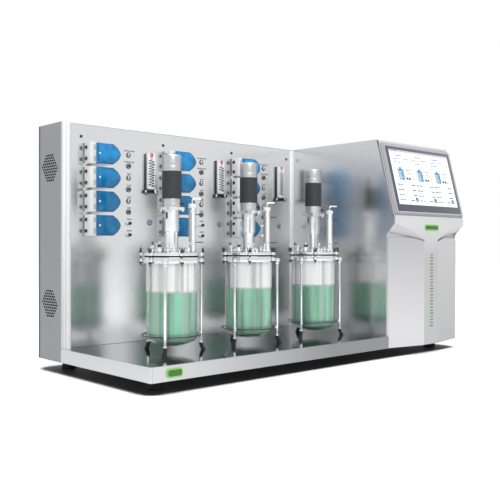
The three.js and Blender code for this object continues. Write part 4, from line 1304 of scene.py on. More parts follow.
# ---------------- instrument panel fittings
def cover_outline(inset):
    """D-shaped outline of a pump cover about its rotor's axis, in millimetres."""
    half = 35 - inset
    bevel = 0.64 * half
    flat = -58 + inset

    def bow(start, corner, end, steps=7):
        """Points along a curve that is drawn towards a corner, without its start."""
        points = []
        for t in [i / steps for i in range(1, steps + 1)]:
            near, mid, far = (1 - t) ** 2, 2 * t * (1 - t), t * t
            points.append(
                tuple(a * near + b * mid + c * far for a, b, c in zip(start, corner, end)))
        return points

    lower = [(flat, -half), (0.15 * half, -half), (bevel, -bevel)]
    lower += bow((bevel, -bevel), (half, -0.22 * half), (half, 0))
    upper = bow((half, 0), (half, 0.22 * half), (bevel, bevel))
    return lower + upper + [(0.15 * half, half), (flat, half)]


class BIOREACTOR_OT_pumps(bpy.types.Operator):
    """Pump heads: ivory tube blocks on a rail, and hollow blue covers"""

    bl_idname = "bioreactor.pumps"
    bl_label = "Pump heads"

    def execute(self, context):
        sizes = context.scene.bioreactor_pumps
        for bay in BAYS:
            self.blocks(bay, sizes)
            self.covers(bay, sizes)
        return {"FINISHED"}

    def blocks(self, bay, sizes):
        """Rail and tube blocks, with ports, collars and tube ends on their left side."""
        first, last = rotor_axis(bay, 1), rotor_axis(bay, PUMPS[-1])
        drop = (first.z - last.z) / MM
        depth = sizes.block_depth / MM
        bank = Shape()
        bank.block(
            (BLOCK_LEFT, -6, -drop - BLOCK_HALF), (BLOCK_RIGHT, 0, BLOCK_HALF), "ivory", 0.4)
        for pump in PUMPS:
            z = (rotor_axis(bay, pump).z - first.z) / MM
            low = (BLOCK_LEFT, -depth, z - BLOCK_HALF)
            high = (BLOCK_RIGHT + 0.1, 0, z + BLOCK_HALF)
            bank.block(low, high, "ivory", 1.6, steps=3)
            for side in PORT_SIDES:
                for rise, start, width in BLOCK_MARKS:
                    mark = shift(start + width / 2, -depth + 0.2, z + side + rise) @ FRONT
                    bank.plate(rounded_plate(width, 2, 0.8), 0.5, "mark_blue", 0, mark)
                left = shift(BLOCK_LEFT, -17, z + side) @ facing((-1, 0, 0))
                bank.turned(
                    [(5.4, -0.4), (5.4, 1.6), (3.6, 2.2), (3.4, 4.8), (2.1, 4.9), (2.1, -0.4)],
                    "dark_steel", 24, left, closed=True)
                bank.disc(2.3, -0.4, 1, "plastic_black", 20, left)
                bank.turned(
                    [(5.2, -0.4), (7.6, -0.4), (7.2, 0.7), (5.2, 0.7)], "mark_slate", 28, left,
                    closed=True)
        bank.done(
            f"pump_blocks_{bay}", first, slot="white_plastic", replaced=(f"pump_bank_{bay}",))

    def covers(self, bay, sizes):
        """Four hollow tinted covers with rounded front edges and a raised lip."""
        depth, wall = sizes.cover_depth / MM, sizes.cover_wall / MM

        def outlines(*steps):
            """The cover's outline at each inset and distance forward."""
            return [[(x, y, forward) for x, y in cover_outline(inset)] for inset, forward in steps]

        inside = outlines((wall + 2, depth - 3), (wall, depth - 5), (wall, 0.1))
        outside = outlines(
            (0, 0.1), (0, depth - 4), (0.5, depth - 2), (1.6, depth - 0.6), (3.2, depth))
        lip = outlines(
            (1.7, depth - 0.9), (2.4, depth + 0.3), (3.8, depth + 0.3), (3.8, depth - 0.9))
        shell = Shape()
        first = rotor_axis(bay, 1)
        for pump in PUMPS:
            z = (rotor_axis(bay, pump).z - first.z) / MM
            place = shift(0, 0, z) @ FRONT
            shell.loft(inside + outside, "cover_blue", place)
            shell.loft(lip, "cover_rim", place, closed=True)
            dot = place @ shift(-49, 0, depth - 0.3)
            shell.plate(rounded_plate(7, 6, 2), 0.9, "cap_white", 0.2, dot)
        shell.done(
            f"pump_covers_{bay}", first, slot="blue_plastic", replaced=(f"pump_bank_{bay}",),
            crease=50)


class BIOREACTOR_OT_rotors(bpy.types.Operator):
    """Turning rotors of the pumps, four rollers between two plates"""

    bl_idname = "bioreactor.rotors"
    bl_label = "Pump rotors"
    bearings = [math.radians(45 + 90 * i) for i in range(4)]

    def execute(self, context):
        sizes = context.scene.bioreactor_pumps
        radius = sizes.roller_radius / MM
        for bay in BAYS:
            for pump in PUMPS:
                name = f"pump_rotor_{bay}_{pump}"
                rotor = Shape()
                for forward in (10.2, 38.5):
                    place = FRONT @ shift(0, 0, forward)
                    rotor.plate(self.cross(radius), 4.2, "cap_white", 0.5, place)
                for angle in self.bearings:
                    x, z = ROLLER_CIRCLE * math.cos(angle), ROLLER_CIRCLE * math.sin(angle)
                    rotor.rod((x, -39, z), (x, -14, z), radius - 0.3, "motor_silver", 20, 0.5)
                rotor.rod((0, -42.8, 0), (0, -10, 0), 6.5, "cap_white", 24, 0.8)
                rotor.rod((0, -11, 0), (0, 15.3, 0), 3.9, "polished_steel", 20, 0.4)
                rotor.stands_for(name, pivot(name), "white_plastic", name, "rollers")
        return {"FINISHED"}

    def cross(self, radius):
        """Outline of a rotor's plate: an arm to each roller, with a round end."""
        outline = []
        for angle in self.bearings:
            hub = angle - math.radians(45)
            outline.append((7.4 * math.cos(hub), 7.4 * math.sin(hub)))
            x, y = ROLLER_CIRCLE * math.cos(angle), ROLLER_CIRCLE * math.sin(angle)
            for edge in [angle + math.radians(28 * k) for k in range(-3, 4)]:
                outline.append((x + radius * math.cos(edge), y + radius * math.sin(edge)))
        return outline


class BIOREACTOR_OT_meters(bpy.types.Operator):
    """Gas flow meters with a scale, a float and a needle valve's knob"""

    bl_idname = "bioreactor.meters"
    bl_label = "Flow meters"

    def execute(self, context):
        for bay in BAYS:
            low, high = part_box(f"flow_meter_{bay}")
            self.meter(bay, low, high)
            self.knob(bay)
        return {"FINISHED"}

    def meter(self, bay, low, high):
        """Acrylic block with a bore and a float, in front of a black back, on its valve block."""
        wide = (high.x - low.x) / MM
        tall = (high.z - low.z) / MM
        x = wide / 2
        meter = Shape()
        valve_knob = pivot(f"valve_knob_{bay}")
        meter.block((0.4, -19, 3), (wide - 0.4, -0.05, 15), "plastic_black", 1.0)
        meter.block((2, -24, 4.5), (wide - 2, -18.5, 13.5), "dark_steel", 0.8)
        meter.block((x - 14.4, -8.6, 14.8), (x + 14.4, -0.05, tall), "plastic_black", 0.8)
        meter.block((x - 15, -19.6, 16.8), (x + 15, -8.4, tall - 0.3), "cap_white", 0.8)
        meter.block((x - 3.2, -19.8, 25), (x + 3.2, -19.4, tall - 13), "motor_silver", 0.1)
        meter.rod((x, -19.3, 26), (x, -19.3, tall - 13), 0.6, "dark_steel", 8, 0.1)
        meter.rod((x, -19.1, 46), (x, -19.1, 54), 0.9, "mark_red", 12, 0.2)
        disc = shift(x, -19.6, tall - 7) @ FRONT
        meter.collar(2.4, 7.4, -0.3, 0.35, "mark_red", 24, disc)
        for i in range(10):
            z = 27 + i * 9.6
            reach = (10.4, 7.6, 9.4, 6.8)[i % 4]
            meter.block((x + 2.6, -20, z), (x + 2.6 + reach, -19.7, z + 5.6), "plastic_black", 0)
            meter.block((x - 3 - reach, -20, z + 3.8), (x - 3, -19.7, z + 8.6), "mark_dark", 0)
        for end in (2, wide - 2):
            meter.rod(
                (end, -14, 9), (end + (2 if end > 9 else -1.8), -14, 9), 5, "bright_chrome", 20,
                0.4)
        seat = shift((valve_knob.x - low.x) / MM, -23.9, 8.5) @ FRONT
        meter.collar(3.4, 6.4, -2, 0.15, "bright_chrome", 32, seat)
        inlet = shift(9, -24, 8.5) @ FRONT
        meter.disc(3.6, -0.5, 0, "bright_chrome", 24, inlet)
        meter.stands_for(f"flow_meter_{bay}", (low.x, high.y, low.z), "meter_acrylic")

    def knob(self, bay):
        """Ribbed knob with a chrome face and a pointer line."""
        name = f"valve_knob_{bay}"
        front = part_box(name)[0].y
        knob = Shape()
        knob.plate(ribbed(72, (7.9, 8.5, 8.5)), 10.8, "plastic_black", 0, shift(0, 0, 0.4))
        knob.turned([(7.8, 10.8), (7.4, 12.4), (6.4, 13)], "bright_chrome", 36, soft=0.3)
        knob.disc(2.8, -8.2, 1, "polished_steel", 20)
        knob.block((-0.7, 1, 12.6), (0.7, 6.6, 13.7), "plastic_black", 0.2)
        face = (pivot(name).x, front + KNOB_DEPTH, pivot(name).z)
        knob.stands_for(name, face, "black_plastic", name, turn=FRONT)


class BIOREACTOR_OT_fittings(bpy.types.Operator):
    """Column of eight panel fittings in each bay, with small plain dashes"""

    bl_idname = "bioreactor.fittings"
    bl_label = "Panel fittings"

    def execute(self, context):
        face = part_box("instrument_panel")[0].y
        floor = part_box("base_tray")[0].z
        for bay in BAYS:
            x = bay_left(bay) + FITTING_COLUMN
            for number, height in enumerate(FITTING_HEIGHTS, 1):
                z = floor + height * MM
                fitting = Shape()
                if number in (7, 8):
                    self.lead_socket(fitting)
                elif number % 2:
                    self.hose_port(fitting)
                else:
                    self.push_fitting(fitting)
                name = f"panel_fitting_{bay}_{number}"
                fitting.done(name, (x, face - PROUD, z), slot="vessel_steel", turn=FRONT)
            self.dashes(bay, x, face, floor)
        return {"FINISHED"}

    def hose_port(self, fitting):
        """Bulkhead port: dark flange, bright collar and a short open spigot."""
        fitting.disc(9.6, 0, 1.4, "socket_grey", 40, soft=0.4)
        fitting.plate(circle(6.8, 6, turn=0.3), 3.6, "motor_silver", 0.6)
        fitting.turned(
            [(3, 3), (5.2, 3), (5.2, 5), (4.4, 5.6), (4.4, 6.8), (3, 6.8)], "bright_chrome", 28,
            closed=True, soft=0.2)
        fitting.disc(3.1, 3, 4.4, "plastic_black", 20)

    def push_fitting(self, fitting):
        """Push-in fitting: ring body round a dark release collar and a pale middle."""
        fitting.turned(
            [(6.6, 0), (9.8, 0), (9.8, 2.4), (8.8, 3.4), (7.4, 3.4), (6.6, 2.6)], "socket_grey",
            40, closed=True, soft=0.3)
        fitting.disc(6.8, 0, 1.6, "motor_silver", 32)
        fitting.turned([(4, 1.4), (4, 4.2), (2.4, 4.6), (2.4, 2.4)], "plastic_black", 28, soft=0.2)

    def lead_socket(self, fitting):
        """Round lead socket with a knurled ring and a black plug face."""
        fitting.disc(9, 0, 2.6, "motor_silver", 36, soft=0.5)
        fitting.plate(ribbed(48, (6.8, 7.2)), 5, "bright_chrome", 0, shift(0, 0, 2.4))
        fitting.turned([(6, 7), (5.6, 13), (4.6, 14)], "plastic_black", 28, soft=0.6)

    def dashes(self, bay, x, face, floor):
        """Rows of plain dashes over the fittings, and a painted reflection dot by each pump port.
        """
        marks = Shape()
        for number, height in enumerate(FITTING_HEIGHTS):
            width = (44, 44, 18, 18, 18, 18, 20, 22)[number]
            count = width // 6
            for i in range(count):
                run = width / count - (1.2, 2.4, 1.8)[(i + number) % 3]
                dash = shift(-width / 2 + width * (i + 0.5) / count + 3, height + DASH_RISE, 0)
                marks.plate(rounded_plate(run, 4.2, 0.8), 0.3, "mark_slate", 0, dash)
        # painted reflection: a dark dot on the panel beside each port
        for pump in PUMPS:
            rotor = rotor_axis(bay, pump)
            across = (rotor.x - x) / MM - PORT_REFLECTIONS
            height = (rotor.z - floor) / MM
            for side in PORT_SIDES:
                level = shift(across, height + side, 0)
                marks.plate(circle(2.6, 16), 0.4, "mark_slate", 0, level)
        marks.done(
            f"panel_plates_{bay}", (x, face - PROUD, floor), slot="white_plastic", turn=FRONT)


class BIOREACTOR_OT_rear(bpy.types.Operator):
    """Feet, and the power inlet and screws on the back"""

    bl_idname = "bioreactor.rear"
    bl_label = "Feet and rear"

    def execute(self, context):
        for node in ("foot_front_left", "foot_front_right", "foot_rear_left", "foot_rear_right"):
            low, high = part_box(node)
            foot = Shape()
            foot.turned(
                [(22, 0), (24.8, 1.5), (25, 5), (24, 11), (20, 20.5), (19.6, 26)],
                "rubber_black", 48, soft=0.8)
            top = (high.z - low.z) / MM
            foot.disc(11, 25.5, top, "bolt_zinc", 32, soft=0.4)
            foot.disc(16.4, 26, 31, "bolt_zinc", 6, soft=0.6)
            place = ((low.x + high.x) / 2, (low.y + high.y) / 2, low.z)
            foot.stands_for(node, place, "black_rubber")
        self.inlet()
        self.screws()
        return {"FINISHED"}

    def inlet(self):
        """Mains inlet with three pins and a switch, sunk into the back cover's thickness."""
        low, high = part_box("rear_cover")
        inlet = Shape()
        inlet.plate(rounded_plate(66, 34, 3), 0.9, "plastic_black", 0.3, shift(0, 0, -0.9))
        inlet.plate(rounded_plate(29, 22, 4), 0.3, "mark_grey", 0, shift(-15, 0, -0.3))
        for x, y in ((-21, 1.5), (-9, 1.5), (-15, 6.5)):
            inlet.block((x - 1, y - 2.5, -0.4), (x + 1, y + 2.5, 0), "bright_chrome", 0.1)
        inlet.plate(rounded_plate(20, 22, 2), 0.3, "rubber_black", 0.1, shift(18, 0, -0.3))
        for x in (-30.5, 30.5):
            inlet.turned([(1.8, -0.5), (1.5, 0)], "bolt_zinc", 16, shift(x, 0, 0))
        place = (high.x - POWER_INLET[0], high.y, low.z + POWER_INLET[1])
        inlet.done("power_inlet", place, slot="black_plastic", turn=REAR)

    def screws(self):
        """Low screws down both edges of the back cover."""
        low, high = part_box("rear_cover")
        for side, x in (("left", low.x + SCREW_EDGE), ("right", high.x - SCREW_EDGE)):
            head = Shape()
            head.turned([(4, -0.4), (3.6, 0)], "bolt_zinc", 20)
            head.plate(circle(1.7, 6), 0.1, "joint_shadow", 0, shift(0, 0, -0.1))
            bmesh.ops.transform(head.body, matrix=REAR, verts=head.body.verts)
            rows = run_pattern(
                PATTERN["row"], f"cover_screws_{side}", Piece=sample(head), Count=SCREW_ROWS,
                Start=(x, high.y, low.z + SCREW_END),
                Step=(0, 0, (high.z - low.z - 2 * SCREW_END) / (SCREW_ROWS - 1)),
                Finish=FINISH["bolt_zinc"])
            settle(f"cover_screws_{side}", rows, STAND)


# ---------------- vessels
STAND_TURN = {1: 102, 2: 80, 3: 77}     # first leg of each stand, degrees from +X
WINDOW_TURN = {1: -78, 2: -104, 3: -104}    # windows of each housing, degrees from the front


def polar(radius, degrees, height=0.0):
    """A point at a radius and bearing about an axis."""
    angle = math.radians(degrees)
    return (radius * math.cos(angle), radius * math.sin(angle), height)


def dish(radius, edge, depth, steps=16):
    """A dished bottom from its edge to the axis, rounder at the edge."""
    points = []
    for i in range(steps + 1):
        turn = math.pi / 2 * i / steps
        points.append((radius * math.cos(turn), edge - depth * math.sin(turn) ** 1.15))
    return points


class BIOREACTOR_OT_stands(bpy.types.Operator):
    """Vessel stands: clamp ring with lugs, three legs, wire hoop and rubber feet"""

    bl_idname = "bioreactor.stands"
    bl_label = "Vessel stands"

    def execute(self, context):
        for bay in BAYS:
            first = STAND_TURN[bay]
            stand = Shape()
            stand.turned(
                [(83.3, 287), (RING, 287), (RING, 306), (88.3, 306), (88.3, 297.7), (83.3, 297.7)],
                "polished_steel", 96, closed=True, soft=0.9)
            for i in range(6):
                angle = first + 30 + 60 * i
                stand.rod(
                    polar(LUGS, angle, 291), polar(LUGS, angle, 302), 8, "polished_steel", 28, 0.9)
            hoop = [polar(HOOP, 360 * i / 96, 55) for i in range(96)]
            stand.tube(hoop, 2, "dark_steel", 12, closed=True)
            for i in range(3):
                self.leg(stand, first + 120 * i)
            stand.stands_for(f"vessel_stand_{bay}", vessel_foot(bay), "vessel_steel")
        return {"FINISHED"}

    def leg(self, stand, angle):
        """Leg with its socket, collar, hoop clamp and splayed rubber foot."""
        for circle_radius, foot, head, radius, sides, soft in (
            (LEGS, 19, 298.6, 4.5, 24, 0.8), (LEGS, 287, 299, 10, 32, 1.2),
            (LEGS, 277, 287.4, 6.4, 6, 0.8), (LUGS, 50.5, 59.5, 5.6, 24, 0.9)):
            ends = polar(circle_radius, angle, foot), polar(circle_radius, angle, head)
            stand.rod(*ends, radius, "polished_steel", sides, soft)
        stand.rod(polar(LEGS, angle, 24), polar(LEGS, angle, 28), 6.2, "bright_chrome", 24, 0.7)
        rings = []
        for circle_radius, height, radius in (
            (LEGS, 25, 5.4), (LEGS, 20, 6.4), (103.4, 15, 6.6), (106.2, 9, 6.6), (109, 4, 7.4),
            (110.5, 0.3, 8.2)):
            x, y, z = polar(circle_radius, angle, height)
            rings.append([(u, v, z) for u, v in circle(radius, 24, (x, y))])
        stand.loft(rings, "rubber_black")


class BIOREACTOR_OT_glass(bpy.types.Operator):
    """Glass vessels and the culture medium in them"""

    bl_idname = "bioreactor.glass"
    bl_label = "Glass and medium"

    def execute(self, context):
        for bay in BAYS:
            self.vessel(bay)
            self.medium(bay)
        return {"FINISHED"}

    def vessel(self, bay):
        """Dished glass with a thick rounded rim."""
        outside = [(87.3, 305.9), (87.3, 298.4), (86, 298.2), (83.6, 298.2), (82.5, 292)]
        outside += dish(82.5, 46, 28)
        inside = list(reversed(dish(81, 46.5, 26.4))) + [(81, 292), (79, 298), (79, 305.9)]
        glass = Shape()
        glass.turned(outside + inside, "clear_glass", 128, closed=True)
        glass.stands_for(
            f"vessel_glass_{bay}", vessel_foot(bay), "clear_glass", ending="blown", crease=60)

    def medium(self, bay):
        """Medium with a meniscus at the glass and a slight dip at the shaft."""
        profile = list(reversed(dish(80.85, 46.6, 26.3)))
        profile += [
            (80.85, 196.4), (80, 196.2), (78.8, 195.3), (76, 195), (30, 194.7), (AXIS, 194.4)]
        broth = Shape()
        broth.turned(profile, "medium_green", 128)
        broth.stands_for(
            f"culture_medium_{bay}", vessel_foot(bay), "green_medium", ending="stirred", crease=60)


class BIOREACTOR_OT_lids(bpy.types.Operator):
    """Head plates with ports, probes, dip tubes and clamp bolts"""

    bl_idname = "bioreactor.lids"
    bl_label = "Head plates"

    def execute(self, context):
        sizes = context.scene.bioreactor_vessels
        for bay in BAYS:
            self.plate(bay)
            self.bolts(bay, sizes)
        return {"FINISHED"}

    def plate(self, bay):
        """Plate with its gasket, lugs, fittings, dip tubes and small plugs."""
        first = STAND_TURN[bay]
        lid = Shape()
        lid.collar(7.2, RING, 311, LID_TOP, "polished_steel", 96, soft=1.1)
        lid.collar(79, 87, 306.4, 311.2, "rubber_black", 96)
        for i in range(6):
            angle = first + 30 + 60 * i
            lid.rod(
                polar(LUGS, angle, 311.1), polar(LUGS, angle, 320.9), 8, "polished_steel", 28, 1.0)
        fittings = (
            self.probe, self.sampler, self.septum, self.tall_probe, self.additions, self.gas_inlet)
        for angle, fitting in zip((60, 105, 150, 195, 240, 290), fittings):
            place = shift(*polar(62, angle, LID_TOP)) @ spun(angle)
            lid.turned(
                [(9, -1), (9, 6), (7.6, 7.4), (7.6, 9)], "polished_steel", 36, place, soft=0.7)
            fitting(lid, place)
        for angle in (75, 165, 255):
            lid.tube(
                [polar(58, angle, 311), polar(58, angle, 180), polar(58, angle, 62)], 4.9,
                "polished_steel", 20)
        for angle, height in (
            (345, 16), (15, 22), (82, 18), (128, 15), (172, 20), (218, 18), (268, 14), (310, 20)):
            place = shift(*polar(46 if angle % 2 else 44, angle, 320.6))
            lid.plate(circle(5.4, 6, turn=0.4), height * 0.5, "bright_chrome", 0.6, place)
            lid.disc(4, height * 0.5 - 0.2, height, "bright_chrome", 24, place, soft=0.6)
        lid.stands_for(f"head_plate_{bay}", vessel_foot(bay), "vessel_steel")

    def probe(self, lid, place):
        """Short probe with a knurled nut and a black lead socket."""
        lid.disc(9.6, 8.8, 19, "bright_chrome", 16, place, soft=0.8)
        lid.turned([(6, 18.8), (6, 27), (4.6, 30)], "dark_steel", 28, place, soft=0.8)

    def sampler(self, lid, place):
        """Sampling tube bent outwards, with a clamp nut."""
        lid.plate(circle(8, 6), 7, "bright_chrome", 0.8, place @ shift(0, 0, 8.8))
        path = [(0, 0, 15), (0, 0, 21), (1.6, 0, 26), (5, 0, 29), (10, 0, 30), (16, 0, 30)]
        lid.tube([place @ Vector(point) for point in path], 2.3, "motor_silver", 14)
        lid.tube([place @ Vector((13, 0, 30)), place @ Vector((20, 0, 30))], 3.4, "dark_steel", 16)

    def septum(self, lid, place):
        """Screw cap with a pale septum."""
        lid.disc(9.6, 8.8, 20, "polished_steel", 36, place, soft=1.0)
        lid.disc(6.6, 19.8, 20.7, "lead_pale", 28, place, soft=0.3)

    def tall_probe(self, lid, place):
        """Probe in a stepped gland, with a pale cap."""
        lid.disc(9.4, 8.8, 17, "bright_chrome", 6, place, soft=0.8)
        lid.turned(
            [(7, 16.8), (7, 18.6), (5.4, 18.8), (5.4, 26)], "dark_steel", 28, place, soft=0.3)
        lid.disc(6.4, 25.8, 35, "motor_silver", 28, place, soft=1.0)

    def additions(self, lid, place):
        """Three thin inlet tubes in one plug."""
        lid.disc(9.2, 8.8, 15, "polished_steel", 36, place, soft=0.8)
        for i in range(3):
            x, y = polar(4.6, 120 * i + 20)[:2]
            path = [(x, y, 13), (x, y, 21), (x * 1.9, y * 1.9, 26), (x * 2.4, y * 2.4, 32)]
            lid.tube([place @ Vector(point) for point in path], 1.5, "bright_chrome", 12)

    def gas_inlet(self, lid, place):
        """Gas inlet with a barbed elbow."""
        lid.plate(circle(7.6, 6), 8, "bright_chrome", 0.8, place @ shift(0, 0, 8.8))
        path = [(0, 0, 16), (0, 0, 24), (1.5, 0, 28), (6, 0, 31), (13, 0, 32)]
        lid.tube([place @ Vector(point) for point in path], 2.6, "polished_steel", 14)
        lid.tube(
            [place @ Vector((12, 0, 32)), place @ Vector((18, 0, 32))], [3.4, 2.6],
            "polished_steel", 14)

    def bolts(self, bay, sizes):
        """Clamp bolts through the lugs, each with its washer, wing nut and lower nut."""
        bolt = Shape()
        bolt.rod((0, 0, 279), (0, 0, 337), 2.1, "dark_steel", 14, 0.4)
        bolt.plate(circle(6, 6), 5, "dark_steel", 0.6, shift(0, 0, 285.6))
        bolt.disc(6.6, LID_TOP, 322.2, "dark_steel", 20, soft=0.2)
        bolt.turned([(4.4, 322.1), (3.4, 331)], "dark_steel", 14, soft=0.5)
        for side in (-1, 1):
            wing = [
                (0, side * 3, 325), (0, side * 6.4, 328.6), (0, side * 8.4, 333),
                (0, side * 8.8, 335.4)]
            bolt.tube(wing, [1.7, 1.5, 1.4, 1.2], "dark_steel", 8)
        mesh = run_pattern(
            PATTERN["ring"], f"clamp_bolts_{bay}", Piece=sample(bolt), Count=sizes.bolt_count,
            Radius=sizes.bolt_circle,
            Turn=math.radians(STAND_TURN[bay] + 30), Centre=tuple(vessel_foot(bay)),
            Finish=FINISH["dark_steel"])
        settle(f"clamp_bolts_{bay}", mesh, STAND)


class BIOREACTOR_OT_drives(bpy.types.Operator):
    """Bell housings with their windows, and the stirrer motors on them"""

    bl_idname = "bioreactor.drives"
    bl_label = "Bell housings and motors"

    def execute(self, context):
        sizes = context.scene.bioreactor_vessels
        for bay in BAYS:
            self.bell(bay)
            self.motor(bay, sizes)
        return {"FINISHED"}

    def bell(self, bay):
        """Turned housing with an oval window through it and a square flange."""
        bell = Shape()
        bell.turned(
            [
                (6.3, 321.3), (27, 321.3), (27, 327.3), (20.5, 328), (20.5, 382.6), (21.3, 384),
                (21.3, 388),
                (24, 389.4), (24, 457.5), (20, 457.5), (20, 391.3), (16.5, 385.3), (16.5, 337.3),
                (6.3, 337.3)], "housing_steel", 64, closed=True, soft=0.8)
        bell.collar(20, 29.5, 457.2, 467.2, "housing_steel", 64, soft=0.6)
        cutter = Shape()
        turn = spun(WINDOW_TURN[bay])
        place = turn @ shift(0, 40, 440.3) @ FRONT
        cutter.plate(
            stadium(24, 8, 9), 80, "joint_shadow", 0, place @ Matrix.Rotation(math.pi / 2, 4, "Z"))
        bell.body = bored(bell.body, cutter.body)
        square, hole = Shape(), Shape()
        corner = fillet([(-31, -31), (31, -31), (31, 31), (-31, 31)], 5, True, 4)
        square.plate(corner, 9.9, "housing_steel", 0, shift(0, 0, 457.35))
        hole.plate(circle(20.2, 48), 20, "joint_shadow", 0, shift(0, 0, 452))
        bell.add(bored(square.body, hole.body), "housing_steel")
        for x, y in ((-25, -25), (25, -25), (25, 25), (-25, 25)):
            bell.disc(3.9, -4.6, 0.2, "bright_chrome", 20, shift(x, y, 457.4), soft=0.5)
        for angle in (30, 150, 270):
            bell.disc(2.4, 0, 2.2, "bright_chrome", 16, shift(*polar(24, angle, 327.2)), soft=0.3)
        bell.stands_for(f"bell_housing_{bay}", vessel_foot(bay), "vessel_steel", crease=30)

    def motor(self, bay, sizes):
        """Bright gearhead, fluted black body and bright cap with a lead socket."""
        motor = Shape()
        motor.turned(
            [(29.5, 467.6), (29.5, 478), (29.1, 478.4), (29.1, 479.2), (29.5, 479.6),
             (29.5, 494.8)], "motor_silver", 72, soft=0.4)
        flutes = ribbed(sizes.rib_count * 4, (31.5, 31.5, 31.5, 31))
        motor.plate(flutes, 89, "motor_black", 0, shift(0, 0, 494.6))
        motor.turned(
            [(30.7, 583.5), (30.7, 599), (30.3, 599.4), (30.3, 600.4), (30.7, 600.8),
             (30.7, 632.6), (27.7, 635.6), (24, 635.6), (23.4, 635.1)], "motor_silver", 72,
             soft=0.4)
        for angle in (45, 165, 285):
            motor.disc(2.2, -0.6, 0.4, "bolt_zinc", 16, shift(*polar(18, angle, 635.2)))
        side = spun(-38) @ shift(31, 0, 481) @ facing((1, 0, 0))
        motor.turned([(5.5, -4), (5.5, 3), (4.6, 9)], "plastic_black", 24, side, soft=0.6)
        motor.stands_for(f"stirrer_motor_{bay}", vessel_foot(bay), "black_motor", crease=30)


class BIOREACTOR_OT_agitators(bpy.types.Operator):
    """Agitators: coupling, shaft and a six-bladed disc impeller"""

    bl_idname = "bioreactor.agitators"
    bl_label = "Agitators"

    def execute(self, context):
        for bay in BAYS:
            stirrer = Shape()
            stirrer.disc(5.9, 111, 467, "polished_steel", 32, soft=0.5)
            stirrer.collar(5.5, 10, 111.2, 124.8, "polished_steel", 36, soft=0.8)
            stirrer.collar(9, 21, 117, 119, "polished_steel", 48, soft=0.3)
            for i in range(6):
                turn = spun(60 * i)
                stirrer.block((16, -0.9, 111.2), (28, 0.9, 124.8), "polished_steel", 0.3, turn)
            for low, high in ((409.5, 426.5), (432, 449.2)):
                stirrer.collar(5.6, 14, low, high, "motor_silver", 48, soft=0.9)
            stirrer.collar(5.6, 11.5, 426.3, 432.2, "rubber_black", 6)
            body = f"agitator_{bay}"
            stirrer.stands_for(body, vessel_foot(bay), "vessel_steel", body)
        return {"FINISHED"}


class BIOREACTOR_OT_condensers(bpy.types.Operator):
    """Exhaust condensers with water nozzles and a bent vent pipe"""

    bl_idname = "bioreactor.condensers"
    bl_label = "Condensers"

    def execute(self, context):
        sizes = context.scene.bioreactor_vessels
        for bay in BAYS:
            tower = Shape()
            tower.turned(
                [(14.5, 321.3), (14.5, 329.3), (11.5, 330), (11.5, 466.4)],
                "housing_steel", 48, soft=0.9)
            for height in (344, 452):
                tower.collar(11.3, 12.4, height, height + 5, "polished_steel", 48, soft=0.4)
            tower.turned([(13.5, 466.3), (13.5, 476.6), (10.5, 480.3)], "cap_white", 40, soft=1.2)
            for height in (354.3, 445.3):
                tower.tube(
                    [(10, 0, height), (22, 0, height), (36, 0, height)], 1.7, "dark_steel", 16)
                for x in (29, 32.5):
                    tower.tube(
                        [(x, 0, height), (x + 2.6, 0, height)], [2.4, 1.8], "dark_steel", 16)
            bend = [
                (0, 0, 478), (0, 0, 488), (0.8, 0, 492.4), (3.6, 0, 495.3), (8, 0, 496.3),
                (20, 0, 496.3), (34, 0, 496.3)]
            tower.tube(bend, 3, "polished_steel", 18)
            tower.tube([(30, 0, 496.3), (34.5, 0, 496.3)], 3.4, "dark_steel", 18)
            turn = sizes.condenser_turn
            out = Vector((math.cos(turn), math.sin(turn), 0))
            at = vessel_foot(bay) + out * sizes.condenser_circle
            tower.stands_for(
                f"condenser_{bay}", at, "vessel_steel", turn=Matrix.Rotation(turn, 4, "Z"))
        return {"FINISHED"}


# ---------------- stage
class BIOREACTOR_OT_finishes(bpy.types.Operator):
    """Makes every finish and pattern that the pieces use"""

    bl_idname = "bioreactor.finishes"
    bl_label = "Finishes"

    def execute(self, context):
        make_finishes(context.scene.bioreactor_look)
        PATTERN["ring"] = ring_pattern()
        PATTERN["row"] = row_pattern()
        PATTERN["vent"] = vent_pattern()
        return {"FINISHED"}


def stage_rays(tree):
    """One for rays from the camera, or by gloss or glass; nought for the rest."""
    path = tree.nodes.new("ShaderNodeLightPath").outputs
    level = path["Is Camera Ray"]
    for other in ("Is Glossy Ray", "Is Transmission Ray"):
        larger = add_node(
            tree, "ShaderNodeMath", {0: level, 1: path[other]}, {"operation": "MAXIMUM"})
        level = larger.outputs[0]
    return level


